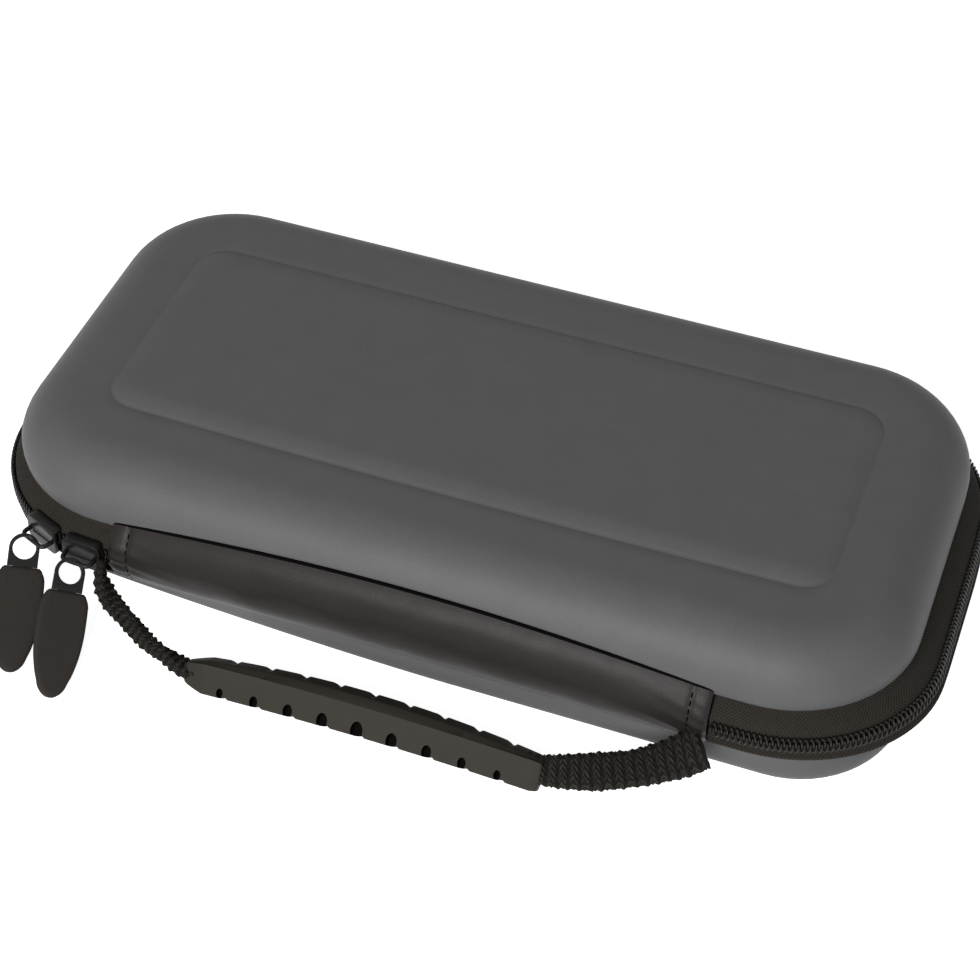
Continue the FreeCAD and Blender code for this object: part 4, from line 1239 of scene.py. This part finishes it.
@dataclass
class Handle:
    """The webbing and the rubber grip on it. Their frame turns with the handle about its anchors."""

    axis_y: float = -70.6
    axis_z: float = 20.0
    droop: float = 38.0
    reach: float = 20.3
    left: float = -55.0
    right: float = 44.0
    dip: float = 0.75
    dip_width: float = 2.2
    dip_place: float = 1.6
    dip_step: float = 0.7
    dip_power: float = 1.4
    notches: int = 9
    end_room: float = 6.0
    bow: float = 1.6
    rib_rise: float = 0.85
    knot_rise: float = 0.32
    knot_pitch: float = 1.35
    fuzz: float = 0.08
    yarn_depth: float = 0.55
    steps_along: int = 264
    section: tuple[tuple[float, float], ...] = (
        (-4.3, -1.6), (-4.6, -1.1), (-4.6, 0.5), (-4.4, 1.05), (2.7, 4.05), (3.1, 4.2), (3.5, 4.0),
        (5.45, 2.6), (5.75, 2.25), (5.9, 1.9), (7.35, -1.6), (7.45, -2.0), (7.2, -2.35), (3.0, -3.9),
        (-1.5, -3.7))
    section_middle: float = 1.4
    end_taper: float = 2.3

    def place(self) -> Matrix:
        """The handle's own frame: x along the case, y from the grip up to the anchors."""
        origin = Vector((0, self.axis_y, self.axis_z))
        return Matrix.Translation(origin) @ Matrix.Rotation(math.radians(self.droop), 4, "X")

    def notch_places(self) -> list[float]:
        """Where the notches are along the grip."""
        pitch = (self.right - self.left - 2 * self.end_room) / self.notches
        return [self.left + self.end_room + pitch * (k + 0.5) for k in range(self.notches)]

    def bowed(self, x: float) -> float:
        """How far the grip stands up at a place along it."""
        middle, half = (self.left + self.right) / 2, (self.right - self.left) / 2
        return self.bow * (1 - ((x - middle) / half) ** 2)

    def hump(self, x: float) -> float:
        """How far the grip's edges dip at a place along it: long humps with short steps between them."""
        depth = 0.0
        for place in self.notch_places():
            gap = x - place - self.dip_place
            if -self.dip_width < gap <= 0:
                depth = max(depth, (gap / self.dip_width + 1) ** self.dip_power)
            elif 0 < gap < self.dip_step:
                depth = max(depth, 1 - gap / self.dip_step)
        return self.dip * depth

    def grip(self) -> Piece:
        """The grip: a six-sided bar with a ridge, humped edges and notches open at its near edge."""
        rows = []
        for k in range(self.steps_along + 1):
            x = self.left + (self.right - self.left) * k / self.steps_along
            from_left, from_right = x - self.left, self.right - x
            share = min(1.0, 0.62 + 0.38 * min(from_left / 5.5, 1.0) ** 0.7)
            share = min(share, 0.86 + 0.14 * math.sqrt(min(from_right / 2.2, 1.0)))
            dip = self.hump(x)
            points = []
            taper = self.end_taper * (2 * (x - self.left) / (self.right - self.left) - 1) ** 2
            for y, z in self.section:
                if y < -4.0:
                    y, z = y + dip * 0.7, z + dip * 0.3
                elif y > 3.2:
                    y -= taper * y / 7.4 + (dip if y > 7.0 else 0.0)
                points.append((self.section_middle + (y - self.section_middle) * share, z * share))
            lift = self.bowed(x)
            rows.append([Vector((x, y - self.reach + lift * 0.6, z + lift * 0.7)) for y, z in points])
        piece = BENCH.skin("grip_bar", rows)
        # Slot 1 holds painted shade; the notch cutters pass it to the faces they cut inside the notches.
        piece.data.materials.append(None)
        piece.data.materials.append(NOTCH_SHADE.material())
        tools = []
        for k, x in enumerate(self.notch_places()):
            middle = 1 - abs(2 * k - self.notches + 1) / (self.notches - 1)
            radius = 0.95 + 0.75 * middle
            lift = self.bowed(x)
            y = -self.reach + self.section[1][0] + 1.3 + lift * 0.6
            tool = BENCH.rod("notch", (x, y, 3.0 + lift * 0.7), radius, 7.6, 24, 1.35 + 0.15 * middle)
            tool.data.materials.append(None)
            tool.data.materials.append(NOTCH_SHADE.material())
            for face in tool.data.polygons:
                face.material_index = 1
            tools.append(tool)
        BENCH.combine(piece, tools, "DIFFERENCE")
        return piece

    def band(self, name: str, route: Sequence[Sequence[float]], width: Callable[[float], float],
             thickness: float, twist: Callable[[float], float], rib: float,
             slimming: float = 0.0) -> Piece:
        """A length of webbing along a route, with a rib across it at every pitch.

        Args:
            name: The piece's name.
            route: Points in the handle's frame.
            width: The width at a share of the route.
            thickness: The webbing's thickness.
            twist: The turn about its length, in degrees, at a share of the route.
            rib: The ribs' pitch.
            slimming: How much slimmer the webbing gets at its sewn end.

        Returns:
            The webbing, as one closed piece.
        """
        line = smooth_line(route, 0.4)
        rows, runs, far = [], [], 0.0
        sides = 40
        for k, point in enumerate(line):
            if k:
                far += (point - line[k - 1]).length
            runs.append(far)
            ahead = (line[min(k + 1, len(line) - 1)] - line[max(k - 1, 0)]).normalized()
            share = k / (len(line) - 1)
            up = (Vector((0, 0, 1)) - ahead * ahead.z).normalized()
            turned = Matrix.Rotation(math.radians(twist(share)), 3, ahead)
            face, across = turned @ up, turned @ ahead.cross(up)
            slim = 1 - slimming * max(share - 0.85, 0.0) / 0.15
            half_w, half_t = width(share) / 2 * slim, thickness / 2 * slim
            row = []
            for j in range(sides):
                angle = TURN * j / sides
                c, s = math.cos(angle), math.sin(angle)
                w = math.copysign(abs(c) ** 0.45, c) * half_w
                t = math.copysign(abs(s) ** 0.55, s) * half_t
                ribs = abs(math.cos(math.pi * (far + 0.35 * abs(w)) / rib)) ** 0.8
                knots = 0.5 + 0.5 * math.cos(TURN * (w / self.knot_pitch + 0.5 * round(far / rib)))
                rough = self.fuzz * noise.noise(Vector((far, w, t)) * 0.9)
                out = self.rib_rise * ribs + self.knot_rise * knots * ribs + rough - self.yarn_depth
                out *= slim
                row.append(point + across * (w + math.copysign(out, c) * abs(c)) + face * (t + out * s))
            rows.append(row)
        return BENCH.skin(name, rows, run=[run * RIB_PITCH / rib for run in runs])

    def webbing(self) -> Piece:
        """The webbing's two ends, which stop inside the grip: rope-like on the left, flat on the right."""
        left = [(-49.0, -19.2, 0.2), (-55.5, -19.4, 0.0), (-60.5, -18.2, -0.2), (-67.9, -15.7, -0.6),
                (-75.9, -11.4, -1.2), (-82.4, -7.3, -1.2), (-85.8, -3.2, -0.4), (-87.0, 0.2, 0.0),
                (-86.8, 1.8, 0.6)]
        right = [(38.0, -19.0, 0.2), (44.5, -18.6, 0.0), (51.8, -16.9, -0.8), (59.0, -14.6, -2.0),
                 (66.8, -11.4, -3.2), (73.4, -7.6, -3.4), (78.4, -4.2, -2.4), (81.2, -1.6, -1.4)]

        def rope(share: float) -> float:
            """The left side's width: folded nearly round."""
            return 3.4 + 1.1 * min(share / 0.15, 1.0) + 0.4 * math.sin(share * 9)

        def flat(share: float) -> float:
            """The right side's width, pinched where it goes into the grip."""
            return 6.2 + 3.6 * min(share / 0.4, 1.0) + 3.2 * max(share - 0.6, 0.0) / 0.4

        def coiled(share: float) -> float:
            """The left side's twist: nearly once round."""
            return 300 * share

        def turned(share: float) -> float:
            """The right side's twist: it leans over towards its sewn end."""
            return -18 * math.sin(math.pi * share) - 28 * share * share

        return BENCH.join([self.band("webbing", left, rope, 3.4, coiled, 2.1, 0.45),
                           self.band("webbing_right", right, flat, 3.0, turned, RIB_PITCH)])

    def make(self) -> None:
        """The handle's pieces."""
        webbing = BENCH.settle(self.webbing(), WEBBING, self.place(), angle=75)
        webbing.name = "handle_webbing"
        BENCH.hand_over(webbing, "handle", "webbing", "handle_strap")
        grip = BENCH.settle(self.grip(), GRIP_RUBBER, self.place(), angle=32)
        BENCH.hand_over(grip, "handle", "grip_rubber", "handle_grip")


# Inside the base


@dataclass
class BaseInside:
    """The padded tray that the console lies in, and the two elastic straps over it."""

    tray: Plan = Plan(244.2, 118.2, 31.6)
    bay: Plan = Plan(240.0, 104.0, 30.0)
    low: float = 3.35
    floor: float = 5.35
    top: float = 16.0
    elastic_x: float = 82.0
    elastic_width: float = 20.0
    elastic_half: float = 56.0
    elastic_low: float = 16.15

    def pad(self) -> Piece:
        """The tray: a soft rim round a bay with a rounded floor."""
        rows = [self.tray.inset(i).ring(z) for i, z in
                ((34.0, self.low), (18.0, self.low), (5.8, self.low), (3.6, 3.8), (1.7, 5.05), (0.45, 6.9),
                 (0.0, 9.15), (0.0, 12.0), (0.0, 14.4), (0.22, 15.4))]
        rows += [self.tray.toward(self.bay, share).ring(self.top - drop) for share, drop in
                 ((0.35, 0.12), (0.55, 0.0), (0.8, 0.12))]
        rows += [self.bay.inset(i).ring(z) for i, z in
                 ((0.0, 15.3), (0.1, 14.2), (0.2, 10.0), (0.5, 7.4), (1.4, 6.0), (3.0, 5.45),
                  (8.0, self.floor), (20.0, self.floor + 0.15), (36.0, self.floor + 0.2),
                  (46.0, self.floor + 0.2))]
        return BENCH.skin("tray_pad", BASE_TAPER.rows(rows))

    def elastic(self, name: str, side: int) -> Piece:
        """An elastic strap with beaded edges, sewn down at both ends."""
        rows = []
        half, thick = self.elastic_width / 2, 0.5
        for k in range(113):
            y = -self.elastic_half + self.elastic_half * 2 * k / 112
            rise = 0.05 * math.sin(y * 1.9)
            section = [(-half, 0.0), (-half + 0.15, 0.4), (-half + 1.0, 0.5), (-half + 1.6, 0.36),
                       (0.0, 0.4), (half - 1.6, 0.36), (half - 1.0, 0.5), (half - 0.15, 0.4),
                       (half, 0.0), (half - 0.15, -0.4), (half - 1.0, -0.5), (0.0, -0.42),
                       (-half + 1.0, -0.5), (-half + 0.15, -0.4)]
            middle = self.elastic_low + thick
            rows.append([Vector((side * self.elastic_x + x, y, middle + z + rise)) for x, z in section])
        piece = BENCH.skin(name, rows)
        ends = []
        for end in (-1, 1):
            y = end * (self.elastic_half - 1.6)
            line = [Vector((side * self.elastic_x + half * (1.7 * t - 0.85), y, self.elastic_low + 1.0))
                    for t in (0.0, 0.5, 1.0)]
            ends.append(stitches("sewn", line, 2.1, 1.5, 0.2))
        return BENCH.join([piece, *ends])

    def make(self) -> None:
        """The base's inner pieces."""
        pad = BENCH.settle(self.pad(), FLEECE, angle=55)
        BENCH.hand_over(pad, "base", "tray_fleece", "console_tray")
        for name, side in (("left", -1), ("right", 1)):
            strap = BENCH.settle(self.elastic("elastic_" + name, side), ELASTIC)
            BENCH.hand_over(strap, "base", "elastic", "console_strap_" + name)


# Inside the lid


@dataclass
class LidInside:
    """The padded flap with its trim and card pockets, and the mesh pocket with its elastic hem."""

    flap: Plan = Plan(230.0, 108.0, 22.0, -4.65)
    flap_low: float = 24.0
    flap_top: float = 27.0
    row_length: float = 196.0
    row_depth: float = 34.0
    row_low: float = 27.15
    row_place: float = 23.0
    cards: int = 5
    mesh: Plan = Plan(244.6, 118.6, 31.8)
    mesh_mouth: float = 12.7
    mesh_middle: float = 33.6
    hem_length: float = 243.8

    def flap_pad(self) -> Piece:
        """The flap: thin foam between two fabrics, drawn in along its edge."""
        low, top = self.flap_low, self.flap_top
        under = [(44.0, 0.05), (30.0, 0.0), (14.0, 0.05), (6.0, 0.3), (3.2, 0.75), (2.6, 0.8), (1.4, 0.45),
                 (0.4, 0.7)]
        over = [(0.4, 0.7), (1.4, 0.4), (2.6, 0.75), (3.2, 0.7), (6.0, 0.2), (14.0, 0.05), (30.0, 0.0),
                (44.0, 0.05)]
        profile = [(i, low + z) for i, z in under] + [(0.0, (low + top) / 2)]
        profile += [(i, top - z) for i, z in over]
        return BENCH.skin("flap_pad", [self.flap.inset(i).ring(z) for i, z in profile])

    def flap_trim(self) -> Piece:
        """The trim folded round the flap's edge, with its row of stitches."""
        middle, half = (self.flap_low + self.flap_top) / 2, 1.62
        profile = [(0.05, half - 0.35), (-0.25, half - 0.05), (-0.75, half - 0.1), (-1.1, half - 0.55),
                   (-1.2, 0.0), (-1.1, 0.55 - half), (-0.75, 0.1 - half), (-0.25, 0.05 - half),
                   (0.05, 0.35 - half)]
        rings = [self.flap.inset(i).ring(middle + z) for i, z in profile]
        rows = [list(column) for column in zip(*rings)]
        return BENCH.skin("flap_trim", rows, loop=True)

    def card_row(self, name: str, side: int) -> Piece:
        """A row of card pockets: a backing, and a front for each card with a thumb cut and a hemmed mouth."""
        middle = self.flap.middle_y + side * self.row_place
        half_x, half_y, low = self.row_length / 2, self.row_depth / 2, self.row_low
        parts = [BENCH.block(name, (-half_x, middle - half_y, low), (half_x, middle + half_y, low + 0.8))]
        BENCH.soften(parts[0], 0.25)
        pitch = self.row_length / self.cards
        for k in range(self.cards):
            x = (k + 0.5) * pitch - half_x
            half = pitch / 2 - 0.35
            mouth = middle + half_y - 6.0
            front = BENCH.block("front", (x - half, middle - half_y + 0.4, low + 0.85),
                                (x + half, mouth, low + 2.0))
            BENCH.combine(front, [BENCH.rod("thumb", (x, mouth + 2.5, low), 8.0, 12.0, 40)], "DIFFERENCE")
            BENCH.soften(front, 0.3)
            parts.append(front)
            left, right = x - half + 0.9, x + half - 0.9
            upper, lower = mouth - 1.0, middle - half_y + 1.4
            turns = ((left, upper), (left, lower), (right, lower), (right, upper))
            line = [Vector((a, b, low + 2.0)) for a, b in turns]
            parts.append(stitches("row", line, 2.8, 2.0, 0.17))
        return BENCH.join(parts)

    def net(self) -> Piece:
        """The mesh: a sheet held along the lid's wall, with slight ripples that grow towards its mouth."""
        near = -self.mesh.depth / 2
        rows = []
        count, columns = 48, 120
        for k in range(count + 1):
            y = near + (self.mesh_mouth - near) * k / count
            into = max(0.0, near + self.mesh.corner - y)
            half = self.mesh.length / 2 - self.mesh.corner + math.sqrt(self.mesh.corner ** 2 - into ** 2)
            row = []
            for j in range(columns + 1):
                t = 2 * j / columns - 1
                ripple = 0.12 * math.sin(j * 0.9) * k / count
                row.append(Vector((t * half, y, self.mesh_middle + ripple)))
            rows.append(row)
        return BENCH.skin("pocket_net", rows, around=False, caps=False)

    def hem(self) -> Piece:
        """The gathered elastic hem along the mesh's mouth."""
        rows = []
        count = 244
        y = self.mesh_mouth + 0.15
        for k in range(count + 1):
            x = self.hem_length * (k / count - 0.5)
            gather = 0.16 * math.sin(x * 2.4)
            section = [(0.0, 0.0), (0.5, 0.55), (2.0, 0.72 + gather * 0.5), (4.0, 0.72 - gather * 0.5),
                       (5.5, 0.55), (6.0, 0.0), (5.5, -0.55), (4.0, -0.72 - gather * 0.5),
                       (2.0, -0.72 + gather * 0.5), (0.5, -0.55)]
            rows.append([Vector((x, y + a, self.mesh_middle + b)) for a, b in section])
        return BENCH.skin("pocket_hem", rows)

    def make(self) -> None:
        """The lid's inner pieces."""
        pad = BENCH.settle(self.flap_pad(), FLEECE, angle=55)
        BENCH.hand_over(pad, "lid", "flap_fleece", "divider_flap")
        trim = BENCH.settle(self.flap_trim(), TRIM, angle=60)
        BENCH.hand_over(trim, "lid", "edge_trim", "divider_binding")
        for name, side in (("near", -1), ("far", 1)):
            row = BENCH.settle(self.card_row("cards_" + name, side), CARD)
            BENCH.hand_over(row, "lid", "card_fabric", "card_row_" + name)
        hem = BENCH.settle(self.hem(), ELASTIC, angle=60)
        BENCH.hand_over(hem, "lid", "elastic", "mesh_pocket_hem")
        net = BENCH.settle(self.net(), NET, closed=False)
        BENCH.hand_over(net, "lid", "mesh", "mesh_pocket")
        cut_off = 2 * (1 - math.pi / 4) * self.mesh.corner ** 2
        area = self.mesh.length * (self.mesh_mouth + self.mesh.depth / 2) - cut_off
        (self.mesh_mouth + self.mesh.depth / 2) * MM
        area * MM * MM


# The studio


@dataclass
class Lamp:
    """A soft box: where it stands, what it looks at, its size in metres and its strength in watts."""

    name: str
    place: tuple[float, float, float]
    size: float
    power: float
    aim: tuple[float, float, float] = (0.0, 0.0, 0.02)


@dataclass
class Studio:
    """A white floor and surround, soft boxes, and the camera at the photograph's angle, in metres."""

    azimuth: float = 18.6
    elevation: float = 44.4
    roll: float = 1.6
    distance: float = 0.6835
    lens: float = 89.79
    shift: tuple[float, float] = (-0.0046, -0.0141)
    target: tuple[float, float, float] = (0.0, 0.0, 0.020)
    world: float = 0.12
    floor_size: float = 8.0
    floor_grey: float = 0.80
    floor_glow: float = 0.90
    sensor: float = 36.0
    nearest: float = 0.02
    lamps: tuple[Lamp, ...] = (
        Lamp("key", (-0.06, -1.38, 0.79), 0.9, 30.0),
        Lamp("top", (-0.3, 0.35, 1.5), 1.2, 1.6),
        Lamp("side", (1.3, -0.2, 0.6), 0.7, 0.8),
    )

    def seen(self, shader: Shader) -> Value:
        """1 for rays that look at the surround, and 0 for those that light the object."""
        path = shader.node("ShaderNodeLightPath", out="Is Camera Ray")
        total = path + path.output("Is Glossy Ray") + path.output("Is Transmission Ray")
        return total.step(0.0, 1.0)

    def surround(self) -> None:
        """A world that looks white and lights softly."""
        world = bpy.data.worlds.new("surround")
        shader = Shader(world)
        grey = [self.world] * 3
        colour = shader.mix(self.seen(shader), grey, (1.0, 1.0, 1.0))
        light = shader.node("ShaderNodeBackground", inputs={0: colour, 1: 1.0})
        shader.node("ShaderNodeOutputWorld", inputs={0: light})
        bpy.context.scene.world = world

    def floor(self) -> None:
        """A pale floor that looks white and keeps the object's shadow."""
        BENCH.clear()
        bpy.ops.mesh.primitive_plane_add(size=self.floor_size, location=(0, 0, 0))
        floor = bpy.context.object
        floor.name = "floor"
        shader = Shader(bpy.data.materials.new("pale_floor"))
        glow = shader.mix(self.seen(shader), (0.0, 0.0, 0.0), (1.0, 1.0, 1.0))
        surface = shader.node("ShaderNodeBsdfPrincipled", inputs={
            "Base Color": (*[self.floor_grey] * 3, 1.0), "Roughness": 0.9, "Specular IOR Level": 0.0,
            "Emission Color": glow, "Emission Strength": self.floor_glow})
        shader.node("ShaderNodeOutputMaterial", inputs={0: surface})
        floor.data.materials.append(shader.owner)

    def light(self) -> None:
        """The soft boxes."""
        for lamp in self.lamps:
            data = bpy.data.lights.new(lamp.name, "AREA")
            data.shape = "DISK"
            data.size = lamp.size
            data.energy = lamp.power
            box = bpy.data.objects.new(lamp.name, data)
            box.location = lamp.place
            way = Vector(lamp.aim) - Vector(lamp.place)
            box.rotation_euler = way.to_track_quat("-Z", "Y").to_euler()
            bpy.context.scene.collection.objects.link(box)

    def camera(self) -> None:
        """The camera, placed by its angles round the object."""
        azimuth, elevation, roll = (math.radians(a) for a in (self.azimuth, self.elevation, self.roll))
        back = Vector((math.sin(azimuth) * math.cos(elevation), -math.cos(azimuth) * math.cos(elevation),
                       math.sin(elevation)))
        level = Vector((math.cos(azimuth), math.sin(azimuth), 0.0))
        upright = back.cross(level)
        right = level * math.cos(roll) + upright * math.sin(roll)
        up = upright * math.cos(roll) - level * math.sin(roll)
        data = bpy.data.cameras.new("camera")
        data.lens = self.lens
        data.sensor_width = self.sensor
        data.shift_x, data.shift_y = self.shift
        data.clip_start = self.nearest
        camera = bpy.data.objects.new("camera", data)
        turn = Matrix((right, up, back)).transposed().to_4x4()
        camera.matrix_world = Matrix.Translation(Vector(self.target) + back * self.distance) @ turn
        bpy.context.scene.collection.objects.link(camera)
        bpy.context.scene.camera = camera

    def make(self) -> None:
        """Everything round the object."""
        self.surround()
        self.floor()
        self.light()
        self.camera()
        bpy.context.scene.view_settings.view_transform = "Standard"


def main() -> None:
    """Build the case's pieces in order, then the studio."""
    logging.basicConfig(level=logging.INFO, format="%(name)s: %(message)s")
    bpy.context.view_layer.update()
    sliders = [Slider("a", 4.0, -77.8, 31.5, 26.0), Slider("b", 23.0, -74.7, 31.5, 14.0)]
    for part in (Shells(), Zip(), Spine(), *sliders, Handle(), BaseInside(), LidInside(), Studio()):
        part.make()
        log.info("%s is done", type(part).__name__)


if __name__ == "__main__":
    main()
